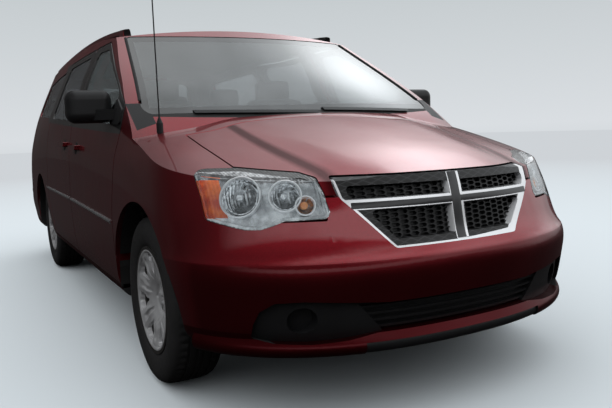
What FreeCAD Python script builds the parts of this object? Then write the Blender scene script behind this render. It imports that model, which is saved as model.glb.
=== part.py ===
import FreeCAD, Part
import math
import os
import Sketcher
from FreeCAD import Rotation, Vector

doc = FreeCAD.newDocument("minivan")
sheet = doc.addObject("Spreadsheet::Sheet", "sizes")

# Driving dimensions in millimetres. Heights are above the road, x is the vehicle's left.
SIZES = {
    "overall_length": 5151, "half_width": 999, "body_height": 1740,
    "wheelbase": 3078, "front_overhang": 955, "track_front": 1665, "track_rear": 1645,
    "tyre_radius": 362, "tyre_width": 225, "rim_radius": 232,
    "arch_radius": 428, "wheelhouse_radius": 466, "liner_wall": 14,
    "wheelhouse_inner": 430, "wheelhouse_outer": 888, "rear_wheelhouse_inner": 640,
    "floor_height": 362, "firewall_wall": 40,
    "skin": 8, "wall": 110, "upper_wall": 38, "bonnet_wall": 34, "cowl_width": 70, "hinge_base": 75,
    "gap": 7, "seal_step": 14, "glass_recess": 5, "glass_wall": 5, "seat_gap": 0.3,
    "overrun": 400,
    "windscreen_radius": 1880, "windscreen_wall": 62, "windscreen_pane": 11,
    "roof_radius": 4900, "roof_wall": 38, "roof_seam": 655,
    "dome_height": 12, "corner_radius": 40,
    "post_wall": 45, "post_half": 70, "tower_half": 75, "tower_wall": 20, "wheelhouse_wall": 12,
    "disc_radius": 151, "disc_wall": 28, "hub_radius": 76, "rim_width": 190, "rim_wall": 9,
    "cover_slots": 7,
    "strut_radius": 22, "spring_radius": 60, "kingpin_x": 690,
    "engine_width": 760, "engine_depth": 560, "engine_height": 520,
    "tube_radius": 26, "axle_beam_radius": 36,
    "mast_length": 760, "mast_radius": 3,
    "steering_radius": 190, "steering_grip": 15,
    "wiper_lift": 18, "wiper_wall": 14, "tank_height": 125, "column_length": 260,
    "mirror_width": 220, "mirror_height": 162, "mirror_depth": 120, "mirror_round": 48, "mirror_x": 1013,
    "running_gap": 8, "strut_top": 880, "spring_seat": 745, "spring_length": 110,
    "subframe_half": 400, "subframe_bar": 60, "radiator_place": 640,
    "lens_wall": 4, "bezel_width": 8, "bezel_depth": 16,
    "bowl_outer": 76, "bowl_inner": 58, "bowl_marker": 34,
    "intake_depth": 48, "slat_wall": 8, "slat_pitch": 26, "fog_radius": 47,
    "border_width": 30, "bar_width": 38, "frame_depth": 40, "panel_wall": 24, "window_round": 16,
    "strip_rise": 5, "handle_lift": 18, "handle_rise": 30,
    "rail_width": 34, "rail_lift": 14, "rail_rise": 36,
    "plate_width": 310, "plate_height": 160, "plate_wall": 12,
    "plate_bolts_wide": 178, "plate_bolts_high": 121, "plate_bolt_radius": 3.5,
    "seat_width": 520, "cushion_wall": 140, "backrest_wall": 150, "backrest_height": 620,
    "dash_depth": 416,
}
for row, (alias, value) in enumerate(SIZES.items(), 1):
    sheet.set("A%d" % row, alias.replace("_", " "))
    sheet.set("B%d" % row, str(value))
    sheet.setAlias("B%d" % row, alias)
doc.recompute()


def size(alias):
    return float(sheet.get(alias))


overall_length = size("overall_length")
half_width = size("half_width")
body_height = size("body_height")
wheelbase = size("wheelbase")
front_overhang = size("front_overhang")
rear_overhang = overall_length - wheelbase - front_overhang
front_axle = front_overhang - overall_length / 2
rear_axle = front_axle + wheelbase
gap = size("gap")
overrun = size("overrun")
wall = size("wall")
upper_wall = size("upper_wall")
skin = size("skin")
corner = size("corner_radius")


# Places: y from a share of the wheelbase behind the front axle, or of an overhang outside it.
def station(share):
    return front_axle + share * wheelbase


def nose(share):
    return front_axle - share * front_overhang


def tail(share):
    return rear_axle + share * rear_overhang


def height(share):
    return share * body_height


def across(share):
    return share * half_width


# Hull: plan outlines at heights. Each row is height, nose reach, nose depth, nose fullness,
# half widths at the front axle, the middle and the rear axle, tail reach, tail depth, tail fullness.
lower_shares = [
    (0.168, 0.925, 0.75, 2.3, 0.925, 0.925, 0.925, 0.925, 0.38, 3.0),
    (0.185, 0.957, 0.765, 2.3, 0.952, 0.952, 0.952, 0.955, 0.38, 3.0),
    (0.213, 0.976, 0.775, 2.3, 0.966, 0.973, 0.968, 0.980, 0.38, 3.0),
    (0.260, 0.988, 0.78, 2.3, 0.976, 0.987, 0.982, 0.992, 0.38, 3.0),
    (0.322, 1.000, 0.78, 2.3, 0.983, 0.996, 0.991, 1.000, 0.38, 3.0),
    (0.348, 0.990, 0.77, 2.25, 0.985, 0.998, 0.993, 0.996, 0.38, 3.0),
]
middle_shares = [
    (0.348, 0.990, 0.77, 2.25, 0.985, 0.998, 0.993, 0.996, 0.38, 3.0),
    (0.374, 0.958, 0.76, 2.2, 0.984, 1.000, 0.994, 0.968, 0.38, 3.0),
    (0.437, 0.932, 0.76, 2.1, 0.977, 0.998, 0.993, 0.945, 0.36, 3.0),
    (0.517, 0.890, 0.76, 2.0, 0.957, 0.993, 0.988, 0.932, 0.34, 3.0),
    (0.575, 0.838, 0.75, 2.0, 0.930, 0.985, 0.980, 0.915, 0.33, 3.0),
    (0.632, 0.775, 0.72, 2.0, 0.893, 0.968, 0.963, 0.895, 0.32, 3.0),
    (0.690, 0.710, 0.69, 2.0, 0.863, 0.945, 0.938, 0.872, 0.31, 3.0),
    (0.747, 0.660, 0.66, 2.0, 0.825, 0.908, 0.902, 0.845, 0.30, 3.0),
    (0.805, 0.600, 0.62, 2.0, 0.785, 0.866, 0.860, 0.818, 0.29, 3.0),
    (0.862, 0.540, 0.58, 2.0, 0.745, 0.822, 0.816, 0.788, 0.28, 3.0),
    (0.920, 0.480, 0.54, 2.0, 0.708, 0.775, 0.768, 0.760, 0.27, 3.0),
    (1.020, 0.400, 0.50, 2.0, 0.640, 0.690, 0.682, 0.700, 0.26, 3.0),
]
nose_angles = (0, 10, 20, 30, 40, 50, 60, 70, 80)
tail_angles = (15, 30, 45, 60, 75, 90)
side_steps = 8
belt_share = 0.62
belt_top_share = 0.70


def inset_at(z_share, low, high):
    if z_share <= belt_share:
        return low
    if z_share >= belt_top_share:
        return high
    blend = (z_share - belt_share) / (belt_top_share - belt_share)
    return low + blend * (high - low)


def plan_points(shares, low, high):
    z, reach, depth, fullness, front, middle, rear, tail_reach, tail_depth, tail_fullness = shares
    inset = inset_at(z, low, high)
    centre = (front_axle + rear_axle) / 2
    reach_y = front_axle - reach * front_overhang + inset
    depth_y = depth * front_overhang
    start = reach_y + depth_y
    back_y = rear_axle + tail_reach * rear_overhang - inset
    tail_y = tail_depth * rear_overhang
    end = back_y - tail_y

    def half(y):
        near = (y - centre) * (y - rear_axle) / (wheelbase / 2 * wheelbase)
        mid = (y - front_axle) * (rear_axle - y) / (wheelbase / 2) ** 2
        far = (y - front_axle) * (y - centre) / (wheelbase / 2 * wheelbase)
        return half_width * (front * near + middle * mid + rear * far) - inset

    side = []
    for angle in nose_angles:
        a = math.radians(angle)
        side.append((half(start) * math.sin(a) ** (2 / fullness),
                     start - depth_y * math.cos(a) ** (2 / fullness)))
    for step in range(side_steps + 1):
        y = start + (end - start) * step / side_steps
        side.append((half(y), y))
    for angle in tail_angles:
        a = math.radians(angle)
        across_tail = 0.0 if angle == tail_angles[-1] else math.cos(a) ** (2 / tail_fullness)
        side.append((half(end) * across_tail, end + tail_y * math.sin(a) ** (2 / tail_fullness)))
    level = height(z)
    points = [Vector(x, y, level) for x, y in side]
    return points + [Vector(-x, y, level) for x, y in side[-2:0:-1]]


def spacing(points):
    total = [0.0]
    for first, second in zip(points, points[1:] + points[:1]):
        total.append(total[-1] + first.distanceToPoint(second))
    return [t / total[-1] for t in total]


def loft_levels(rows, low, high):
    parameters = spacing(plan_points(middle_shares[3], 0.0, 0.0))
    wires = []
    for row in rows:
        curve = Part.BSplineCurve()
        curve.interpolate(Points=plan_points(row, low, high), PeriodicFlag=True, Parameters=parameters)
        wires.append(Part.Wire([curve.toShape()]))
    return Part.makeLoft(wires, True, False)


hulls = {}


def hull(low, high):
    if (low, high) not in hulls:
        hulls[low, high] = loft_levels(lower_shares, low, high).fuse(loft_levels(middle_shares, low, high))
    return hulls[low, high]


# What lies above the hull's widest line is trimmed by its upper loft alone.
uppers = {}


def upper(inset):
    if inset not in uppers:
        uppers[inset] = loft_levels(middle_shares, inset, inset)
    return uppers[inset]


def curve_through(points):
    curve = Part.BSplineCurve()
    curve.interpolate(Points=points)
    return curve.toShape()


# Solid behind the windscreen. Each row is height and how far behind the front axle its middle is.
windscreen_shares = [(0.060, -0.430), (0.640, 0.015), (0.672, 0.0415),
                     (0.790, 0.1535), (0.938, 0.309), (1.080, 0.470)]
windscreen_across_shares = (-1.1, -0.85, -0.6, -0.3, 0.0, 0.3, 0.6, 0.85, 1.1)


def behind_windscreen(shift):
    wires = []
    back = rear_axle + rear_overhang + overrun
    for z_share, y_share in windscreen_shares:
        points = []
        for share in windscreen_across_shares:
            x = across(share)
            sweep = x * x / (2 * size("windscreen_radius"))
            points.append(Vector(x, station(y_share) + sweep + shift, height(z_share)))
        right = Vector(points[0].x, back, points[0].z)
        left = Vector(points[-1].x, back, points[0].z)
        edges = [curve_through(points), Part.makeLine(points[-1], left),
                 Part.makeLine(left, right), Part.makeLine(right, points[0])]
        wires.append(Part.Wire(edges))
    return Part.makeLoft(wires, True, False)


# Space under the roof: a crowned surface with its peak behind the front doors.
roof_profile_shares = [(-0.30, 0.860), (0.10, 0.928), (0.33, 0.9625), (0.50, 0.988),
                       (0.68, 1.0), (0.95, 0.995), (1.25, 0.968), (1.45, 0.94)]


def under_roof(drop):
    wires = []
    for y_share, z_share in roof_profile_shares:
        y = station(y_share)
        points = []
        for share in windscreen_across_shares:
            x = across(share)
            points.append(Vector(x, y, height(z_share) - x * x / (2 * size("roof_radius")) - drop))
        left = Vector(points[-1].x, y, 0)
        right = Vector(points[0].x, y, 0)
        edges = [curve_through(points), Part.makeLine(points[-1], left),
                 Part.makeLine(left, right), Part.makeLine(right, points[0])]
        wires.append(Part.Wire(edges))
    return Part.makeLoft(wires, True, False)


# Space under the bonnet line. Each row is a place behind the front axle, the middle's height,
# the crown's drop at the full width and the dome edge's distance from the middle.
bonnet_shares = [
    (-0.340, 0.485, 0.085, 0.30),
    (-0.271, 0.5165, 0.080, 0.34),
    (-0.237, 0.5375, 0.080, 0.37),
    (-0.146, 0.5850, 0.078, 0.43),
    (0.000, 0.6495, 0.074, 0.53),
    (0.107, 0.6870, 0.070, 0.62),
    (0.180, 0.7050, 0.070, 0.66),
]
bonnet_across_shares = (0.0, 0.15, 0.27, 0.36, 0.44, 0.52, 0.60, 0.68, 0.78, 0.92, 1.15)
dome_blend_share = 0.17


def dome_rise(share, edge):
    blend = min(max((edge - share) / dome_blend_share + 0.5, 0.0), 1.0)
    return size("dome_height") * blend * blend * (3 - 2 * blend)


def under_bonnet(drop):
    wires = []
    for y_share, z_share, crown_share, dome_share in bonnet_shares:
        y = station(y_share)
        points = []
        for share in [-s for s in bonnet_across_shares[:0:-1]] + list(bonnet_across_shares):
            z = height(z_share) - height(crown_share) * share ** 2
            rise = dome_rise(abs(share), dome_share) - size("dome_height")
            points.append(Vector(across(share), y, z + rise - drop))
        left = Vector(points[-1].x, y, 0)
        right = Vector(points[0].x, y, 0)
        edges = [curve_through(points), Part.makeLine(points[-1], left),
                 Part.makeLine(left, right), Part.makeLine(right, points[0])]
        wires.append(Part.Wire(edges))
    return Part.makeLoft(wires, True, False)


# Outlines with rounded corners, drawn on a plane square to a direction and pushed along it.
side_reach_share = 0.45


def rounded(points, radius):
    edges = []
    count = len(points)
    joints = []
    for i, corner in enumerate(points):
        before = points[i - 1] - corner
        after = points[(i + 1) % count] - corner
        angle = before.getAngle(after)
        reach = radius / math.tan(angle / 2)
        reach = min(reach, side_reach_share * before.Length, side_reach_share * after.Length)
        before.normalize()
        after.normalize()
        bend = reach * math.tan(angle / 2)
        middle = before + after
        middle.normalize()
        centre = corner + middle * (bend / math.sin(angle / 2))
        joints.append((corner + before * reach, centre - middle * bend, corner + after * reach))
    for i, (start, mid, end) in enumerate(joints):
        edges.append(Part.Arc(start, mid, end).toShape())
        edges.append(Part.makeLine(end, joints[(i + 1) % count][0]))
    return Part.Wire(edges)


def prism(points, direction, low, high, radius, grow):
    push = Vector(direction)
    push.normalize()
    flat = [p - push * p.dot(push) for p in points]
    wire = rounded(flat, radius)
    face = Part.Face(wire)
    if grow:
        face = face.makeOffset2D(grow)
    face.translate(push * low)
    return face.extrude(push * (high - low))


def side_prism(shares, radius, grow):
    points = [Vector(0, station(y), height(z)) for y, z in shares]
    return prism(points, Vector(1, 0, 0), across(0.30), half_width + overrun, radius, grow)


def slab(x0, x1, y0, y1, z0, z1):
    return Part.makeBox(x1 - x0, y1 - y0, z1 - z0, Vector(x0, y0, z0))


def disc(radius, x0, x1, y, z):
    return Part.makeCylinder(radius, x1 - x0, Vector(x0, y, z), Vector(1, 0, 0))


nodes = {}


def largest(shape, count):
    solids = sorted(shape.Solids, key=lambda solid: -solid.Volume)
    return Part.Compound(solids[:count]) if count > 1 else solids[0]


def feature(name, shape):
    item = doc.addObject("Part::Feature", name)
    item.Label = name
    item.Shape = shape
    nodes[name] = item
    return item


def mirrored(name, source):
    item = doc.addObject("Part::Mirroring", name)
    item.Label = name
    item.Source = source
    item.Normal = Vector(1, 0, 0)
    nodes[name] = item
    return item


wide = half_width + overrun
top = body_height + overrun
front_end = front_axle - front_overhang - overrun
back_end = rear_axle + rear_overhang + overrun
firewall_y = station(0.085)

# Outer body, its skin layer and the hollow inside it.


def cabin(low, high, windscreen_shift, roof_drop):
    return hull(low, high).common(behind_windscreen(windscreen_shift)).common(under_roof(roof_drop))


outer_cabin = cabin(0.0, 0.0, 0.0, 0.0)
outer_front = hull(0.0, 0.0).common(under_bonnet(0.0))
inner_cabin = cabin(wall, upper_wall, size("windscreen_wall"), size("roof_wall"))
inner_cabin = inner_cabin.common(slab(-wide, wide, firewall_y, back_end, size("floor_height"), top))
inner_front = hull(wall, wall).common(under_bonnet(size("bonnet_wall")))
inner_front = inner_front.common(slab(-wide, wide, front_end, firewall_y - size("firewall_wall"), 0, top))
whole = outer_front.fuse(outer_cabin)
shell = whole.cut(inner_cabin.fuse(inner_front))
left_side = slab(0, wide, front_end, back_end, 0, top)

# Wheel arches and wheelhouses, cut from the left side and mirrored with it.
half_track_front = size("track_front") / 2
half_track_rear = size("track_rear") / 2
axle_height = size("tyre_radius")
arch_radius = size("arch_radius")
wheelhouse_radius = size("wheelhouse_radius")
wheelhouse_outer = size("wheelhouse_outer")
arches = Part.Compound([
    disc(arch_radius, -wide, -wheelhouse_outer, front_axle, axle_height),
    disc(arch_radius, wheelhouse_outer, wide, front_axle, axle_height),
    disc(wheelhouse_radius, -wheelhouse_outer, -size("wheelhouse_inner"), front_axle, axle_height),
    disc(wheelhouse_radius, size("wheelhouse_inner"), wheelhouse_outer, front_axle, axle_height),
    disc(arch_radius, -wide, -size("rear_wheelhouse_inner"), rear_axle, axle_height),
    disc(arch_radius, size("rear_wheelhouse_inner"), wide, rear_axle, axle_height),
])
shell = shell.cut(arches)

# Bonnet: everything above a surface under its skin, inside its shut line.
bonnet_edge_shares = [(0.70, -0.60), (0.712, -0.14), (0.723, -0.05),
                      (0.723, 0.03), (0.745, 0.063), (0.765, 0.16)]
bonnet_points = [Vector(across(x), station(y), 0) for x, y in bonnet_edge_shares]
bonnet_points += [Vector(-p.x, p.y, 0) for p in bonnet_points[::-1]]
bonnet_lip = size("bonnet_wall") + size("gap")


def bonnet_region(grow, drop):
    region = prism(bonnet_points, Vector(0, 0, 1), axle_height, top, size("skin"), grow)
    return region.cut(under_bonnet(drop)).cut(behind_windscreen(grow - size("cowl_width")))


# Lamp, grille and air intake outlines in the nose.
lamp_shares = [(0.832, -0.1263, 0.5315), (0.798, -0.1304, 0.534), (0.711, -0.1519, 0.534),
               (0.626, -0.1861, 0.527), (0.540, -0.2106, 0.521), (0.505, -0.2339, 0.510),
               (0.505, -0.2502, 0.4786), (0.492, -0.2607, 0.4344), (0.568, -0.2498, 0.4335),
               (0.641, -0.2367, 0.4325), (0.675, -0.2312, 0.424), (0.715, -0.2236, 0.4165),
               (0.757, -0.2121, 0.4167), (0.799, -0.1975, 0.4237), (0.855, -0.1727, 0.4356),
               (0.853, -0.1584, 0.4809)]
lamp_points = [Vector(across(x), station(y), height(z)) for x, y, z in lamp_shares]
lamp_direction = Vector(0.55, -0.83, 0)


def lamp_region(grow):
    reach = front_overhang
    middle = lamp_points[0].dot(lamp_direction)
    return prism(lamp_points, lamp_direction, middle - reach, middle + reach, corner / 2, grow)


def nose_prism(shares, radius, grow):
    points = [Vector(across(x), 0, height(z)) for x, z in shares]
    points += [Vector(-p.x, 0, p.z) for p in points[::-1]]
    return prism(points, Vector(0, -1, 0), -nose(0.30), -front_end, radius, grow)


grille_shares = [(0.466, 0.512), (0.452, 0.470), (0.286, 0.367)]
# The black air intake spans both fog lamp recesses; its middle, between slanting sides, is slatted.
intake_shares = [(0.335, 0.2616), (0.50, 0.2691), (0.622, 0.2749), (0.708, 0.2724), (0.749, 0.2542),
                 (0.765, 0.226), (0.768, 0.1972), (0.706, 0.1884), (0.597, 0.1857), (0.475, 0.1893),
                 (0.333, 0.2005)]
slatted_shares = [(0.495, 0.30), (0.320, 0.185)]
grille_hole = nose_prism(grille_shares, corner / 2, 0)
intake_hole = nose_prism(intake_shares, corner / 3, 0)
lamp_left = lamp_region(0).common(left_side)
mirror_plane = Vector(1, 0, 0)


def both(shape):
    return Part.Compound([shape, shape.mirror(Vector(), mirror_plane)])


lamp_hole = both(lamp_region(gap / 2).common(left_side))
openings = Part.Compound([grille_hole, intake_hole])
bonnet = bonnet_region(-gap / 2, bonnet_lip).common(shell).cut(both(lamp_region(gap).common(left_side)))
feature("bonnet", bonnet.cut(nose_prism(grille_shares, corner / 2, gap)))
body = shell.cut(bonnet_region(gap / 2, bonnet_lip + gap))

lens_wall = size("lens_wall")
lens_back = lens_wall + size("seat_gap")
bezel_back = lens_wall + size("bezel_depth")
lamp_lens = lamp_left.common(shell).cut(upper(lens_wall))
feature("headlamps", both(lamp_lens))
# The lamp's housing fills the hole behind its lens. Its bezel meets the lens, and three round
# reflectors are sunk into the recess within the bezel.
lamp_back = lamp_region(gap / 2 - size("seat_gap")).common(left_side).common(shell)
lamp_back = lamp_back.common(upper(lens_back))
lamp_back = lamp_back.cut(lamp_region(-size("bezel_width")).cut(upper(bezel_back)))
bowl_shares = {"bowl_outer": (0.755, -0.1957, 0.4811), "bowl_inner": (0.623, -0.2289, 0.4814),
               "bowl_marker": (0.568, -0.2442, 0.461)}
bowl_sunk_shares = Vector(-0.12, 0.25, 0)
for bowl, (x_share, y_share, z_share) in bowl_shares.items():
    centre = Vector(across(x_share), station(y_share), height(z_share))
    lamp_back = lamp_back.cut(Part.makeSphere(size(bowl), centre + bowl_sunk_shares * size(bowl)))
feature("lamp_housings", both(largest(lamp_back, 1)))
body = body.cut(lamp_hole)

# Front bumper: the nose up to the lamps, and the centre up to the bonnet.
bumper_top_shares = [(1.30, 0.428), (0.505, 0.428), (0.505, 0.60)]
bumper_points = [Vector(across(x), 0, height(z)) for x, z in bumper_top_shares]
bumper_points += [Vector(-p.x, 0, p.z) for p in bumper_points[::-1]]
bumper_points += [Vector(-wide, 0, 0), Vector(wide, 0, 0)]
bumper_zone = prism(bumper_points, Vector(0, -1, 0), -station(-0.128), -front_end, size("skin"), 0)
bumper = body.common(bumper_zone)
body = body.cut(bumper_zone)
# A chin lip runs along the bumper's foot. Its middle stands higher, over a black air dam.
lip_shares = [
    (0.156, 0.958, 0.765, 2.3, 0.940, 0.940, 0.940, 0.94, 0.38, 3.0),
    (0.163, 0.984, 0.765, 2.3, 0.952, 0.952, 0.952, 0.94, 0.38, 3.0),
    (0.178, 0.990, 0.770, 2.3, 0.956, 0.956, 0.956, 0.94, 0.38, 3.0),
    (0.192, 0.976, 0.775, 2.3, 0.954, 0.954, 0.954, 0.94, 0.38, 3.0),
    (0.203, 0.966, 0.775, 2.3, 0.950, 0.950, 0.950, 0.94, 0.38, 3.0),
]
lip_margin_share = 0.01
lip_wall = wall * 0.7
lip_inner_shares = [(lip_shares[0][0] - lip_margin_share,) + lip_shares[0][1:],
                    (lip_shares[-1][0] + lip_margin_share,) + lip_shares[-1][1:]]
lip = loft_levels(lip_shares, 0.0, 0.0).cut(loft_levels(lip_inner_shares, lip_wall, lip_wall))
lip = lip.common(slab(-wide, wide, front_end, station(-0.155), 0, top))
dam_zone = slab(-across(0.42), across(0.42), front_end, station(-0.155), 0, height(0.182))
feature("front_bumper", bumper.fuse(lip).cut(openings).cut(dam_zone))
dam = lip.common(dam_zone).common(loft_levels(lip_shares, skin, skin))
# The grille's frame has a border and a cross, and four windows with rounded corners. A panel
# closes it behind, where the lattice is seated.
grille = grille_hole.common(shell)
grille_inner = nose_prism(grille_shares, corner / 2, -size("border_width"))
frame_depth = size("frame_depth")
panel_depth = frame_depth + size("panel_wall")
bar_half = size("bar_width") / 2
bar_z = height(0.456)
grille_cross = Part.Compound([slab(-bar_half, bar_half, front_end, nose(0.30), 0, top),
                              slab(-wide, wide, front_end, nose(0.30), bar_z - bar_half, bar_z + bar_half)])
window_round = size("window_round")
window_layer = slab(-wide, wide, nose(0.60), nose(0.60) + skin, 0, top)
window_faces = grille_inner.cut(grille_cross).common(window_layer)
windows = []
for solid in window_faces.Solids:
    face = min(solid.Faces, key=lambda side: side.CenterOfMass.y)
    face = face.makeOffset2D(-window_round).makeOffset2D(window_round)
    face.translate(Vector(0, front_end - nose(0.60), 0))
    windows.append(face.extrude(Vector(0, nose(0.30) - front_end, 0)))
feature("grille_frame", grille.cut(upper(frame_depth)).cut(Part.Compound(windows)))
feature("grille_mesh", grille.common(upper(frame_depth)).cut(upper(panel_depth)))
intake = bumper.common(intake_hole)
grille_back = hull(size("intake_depth"), size("intake_depth"))
slatted = nose_prism(slatted_shares, size("skin"), 0)
fog_space = intake.cut(slatted).common(hull(size("skin") * 2, size("skin") * 2))
slats = []
slat_count = 4
slat_z = height(0.2052)
for step in range(slat_count):
    slat_top = slat_z + size("slat_wall")
    slats.append(slab(-across(0.50), across(0.50), front_end, nose(0.30), slat_z, slat_top))
    slat_z += size("slat_pitch")
slats = intake.common(slatted).common(Part.Compound(slats)).common(hull(size("skin") * 3, size("skin") * 3))
intake_back = intake.common(grille_back)
fog_rings = []
for side_sign in (-1, 1):
    ring_centre = Vector(side_sign * across(0.615), nose(0.50), height(0.232))
    fog_rings.append(Part.makeCylinder(size("fog_radius"), overrun, ring_centre, Vector(0, -1, 0)))
fog_space = fog_space.cut(Part.Compound(fog_rings).cut(grille_back))
feature("lower_grille", intake_back.fuse(fog_space).fuse(slats).fuse(dam))

# Doors: a skin layer out to the shut line and a deeper box set back from it.
front_door_shares = [(0.132, 0.190), (0.497, 0.198), (0.497, 0.928), (0.385, 0.926), (0.132, 0.697)]
slide_door_shares = [(0.497, 0.198), (0.800, 0.207), (0.838, 0.36), (0.838, 0.45),
                     (0.815, 0.70), (0.806, 0.928), (0.497, 0.928)]
front_window_shares = [(0.185, 0.648), (0.462, 0.670), (0.462, 0.905), (0.378, 0.900), (0.185, 0.735)]
slide_window_shares = [(0.530, 0.677), (0.782, 0.698), (0.776, 0.905), (0.530, 0.905)]
quarter_window_shares = [(0.850, 0.705), (1.190, 0.732), (1.160, 0.885), (0.838, 0.903)]
box_layer = hull(skin, skin)


def side_wall(shares, grow):
    """A prism through the side, kept to the thickness of the wall."""
    return side_prism(shares, corner, grow).cut(hull(wall, upper_wall))


def raised(shares, low, high):
    """Pads on the body's side, one for each outline, between two distances out from its skin."""
    pads = [side_prism(points, size("seal_step") / 4, 0) for points in shares]
    return Part.Compound(pads).common(upper(-high)).cut(upper(-low))


def handle(start, end, z_share):
    """A pull handle: a bar that stands off the skin on a post at each end."""
    half_share = 0.008
    post_share = 0.010
    low = z_share - half_share
    high = z_share + half_share
    lift = size("handle_lift")
    bar = raised([[(start, low), (end, low), (end, high), (start, high)]], lift, size("handle_rise"))
    posts = []
    for post_start in (start, end - post_share):
        post_end = post_start + post_share
        posts.append([(post_start, low), (post_end, low), (post_end, high), (post_start, high)])
    return bar.fuse(raised(posts, -skin / 2, size("handle_rise")))


def door(shares, window_shares, strip_shares, handle_shares):
    """A skin and box with a window opening, a raised strip along its side and a handle."""
    skin_part = side_wall(shares, -gap / 2).common(left_body).cut(box_layer)
    box_part = side_wall(shares, -size("seal_step")).common(left_body).common(box_layer)
    strip = [(y, z - strip_half_share) for y, z in strip_shares]
    strip += [(y, z + strip_half_share) for y, z in strip_shares[::-1]]
    trim = raised([strip], -skin / 2, size("strip_rise")).fuse(handle(*handle_shares))
    return skin_part.fuse(box_part).cut(side_prism(window_shares, corner, 0)).fuse(trim)


def pane(window_shares):
    outer = size("glass_recess")
    inner = outer + size("glass_wall")
    glass = side_prism(window_shares, corner, -size("seat_gap"))
    return glass.common(upper(outer)).cut(upper(inner))


left_body = body.common(slab(0, wide, station(0.10), station(0.90), 0, top))
strip_half_share = 0.004
front_strip_shares = [(0.140, 0.3805), (0.299, 0.390), (0.490, 0.3985)]
slide_strip_shares = [(0.503, 0.399), (0.674, 0.402), (0.826, 0.404)]
front_handle_shares = (0.395, 0.462, 0.5815)
slide_handle_shares = (0.520, 0.587, 0.592)
left_door = feature("front_door_left", door(front_door_shares, front_window_shares,
                                            front_strip_shares, front_handle_shares))
feature("sliding_doors", both(door(slide_door_shares, slide_window_shares,
                                   slide_strip_shares, slide_handle_shares)))
door_glass = feature("door_glass_left", pane(front_window_shares))
feature("side_glass", both(Part.Compound([pane(slide_window_shares), pane(quarter_window_shares)])))
mirrored("front_door_right", left_door)
mirrored("door_glass_right", door_glass)
door_holes = side_wall(front_door_shares, gap / 2).fuse(side_wall(slide_door_shares, gap / 2))
door_holes = door_holes.fuse(side_wall(quarter_window_shares, 0))
body = body.cut(both(door_holes))

# Windscreen pane and its opening.
windscreen_edge_shares = [(0.842, 0.668), (0.706, 0.936)]


def windscreen_region(grow):
    points = [Vector(across(x), 0, height(z)) for x, z in windscreen_edge_shares]
    points += [Vector(-p.x, 0, p.z) for p in points[::-1]]
    return prism(points, Vector(0, 1, 0), station(-0.05), station(0.42), corner, grow)


pane_front = windscreen_region(-size("seat_gap")).common(behind_windscreen(size("glass_recess")))
feature("windscreen", pane_front.cut(behind_windscreen(size("glass_recess") + size("windscreen_pane"))))
body = body.cut(windscreen_region(0))

# Cowl, firewall, roof, tailgate, rear bumper and tail lamps are parts of what is left.
cowl_zone = slab(-across(0.80), across(0.80), station(-0.10), station(0.20), height(0.575), height(0.70))
# The bonnet rests on two hinge bases that stand on the cowl under its rear corners.
base_drop = size("bonnet_wall") + size("seat_gap")
base_space = under_bonnet(base_drop).cut(under_bonnet(base_drop + size("hinge_base")))
base_back = behind_windscreen(-size("cowl_width") * 2.5)
hinge_base = slab(across(0.60), across(0.70), station(-0.03), station(0.15), height(0.575), top)
hinge_base = base_space.common(hinge_base).common(base_back).cut(inner_cabin)
feature("cowl", largest(body.common(cowl_zone).fuse(both(hinge_base)), 1))
body = body.cut(cowl_zone)
firewall_front = firewall_y - size("firewall_wall")
firewall_zone = slab(wall - half_width, half_width - wall, firewall_front, station(0.20), 0, height(0.70))
tower_half = size("tower_half")
firewall = body.common(firewall_zone)
# Strut towers reach forward from the firewall over the front struts.
tower = slab(size("kingpin_x") - tower_half, size("kingpin_x") + tower_half,
             front_axle - tower_half, firewall_front + skin,
             size("strut_top") + size("seat_gap"), size("strut_top") + size("tower_wall"))
feature("firewall", firewall.fuse(both(tower)))
body = body.cut(firewall_zone)
tail_line = tail(0.62)
roof_zone = slab(-size("roof_seam"), size("roof_seam"), station(0.20), tail_line - gap, height(0.90), top)
feature("roof_panel", body.common(roof_zone))
body = body.cut(roof_zone)
tailgate_shares = [(0.735, 0.362), (0.735, 0.60), (0.655, 1.10)]
tail_window_shares = [(0.640, 0.640), (0.585, 0.885)]


def tail_prism(shares, radius, grow):
    points = [Vector(across(x), 0, height(z)) for x, z in shares]
    points += [Vector(-p.x, 0, p.z) for p in points[::-1]]
    return prism(points, Vector(0, 1, 0), tail_line, back_end, radius, grow)


tailgate_zone = tail_prism(tailgate_shares, corner, -gap / 2)
tail_window = tail_prism(tail_window_shares, corner, 0)
# The number plate stands on a flat pad with four bolt holes.
plate_z = height(0.505)
plate_back = tail(0.80)
plate_y = tail(0.945)
plate_half = size("plate_width") / 2
plate_rise = size("plate_height") / 2
pad = slab(-plate_half, plate_half, plate_back, plate_y, plate_z - plate_rise, plate_z + plate_rise)
pad = pad.cut(hull(skin, skin))
bolts = []
bolt_depth = size("plate_wall") * 2
for bolt_x in (-size("plate_bolts_wide") / 2, size("plate_bolts_wide") / 2):
    for bolt_z in (-size("plate_bolts_high") / 2, size("plate_bolts_high") / 2):
        bolt_place = Vector(bolt_x, plate_y - size("plate_wall"), plate_z + bolt_z)
        bolts.append(Part.makeCylinder(size("plate_bolt_radius"), bolt_depth, bolt_place, Vector(0, 1, 0)))
feature("tailgate", body.common(tailgate_zone).cut(tail_window).fuse(pad).cut(Part.Compound(bolts)))
pane_outer = size("glass_recess")
pane_inner = pane_outer + size("glass_wall")
tail_pane = tail_prism(tail_window_shares, corner, -size("seat_gap")).common(upper(pane_outer))
feature("tailgate_glass", tail_pane.cut(upper(pane_inner)))
body = body.cut(tail_prism(tailgate_shares, corner, gap / 2))
lamp_zone = slab(across(0.74), wide, tail(0.62), back_end, height(0.49), height(0.715))
feature("tail_lamps", both(body.common(lamp_zone)))
body = body.cut(both(lamp_zone))
rear_bumper_zone = slab(-wide, wide, tail(0.40), back_end, 0, height(0.362))
feature("rear_bumper", body.common(rear_bumper_zone))
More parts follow.
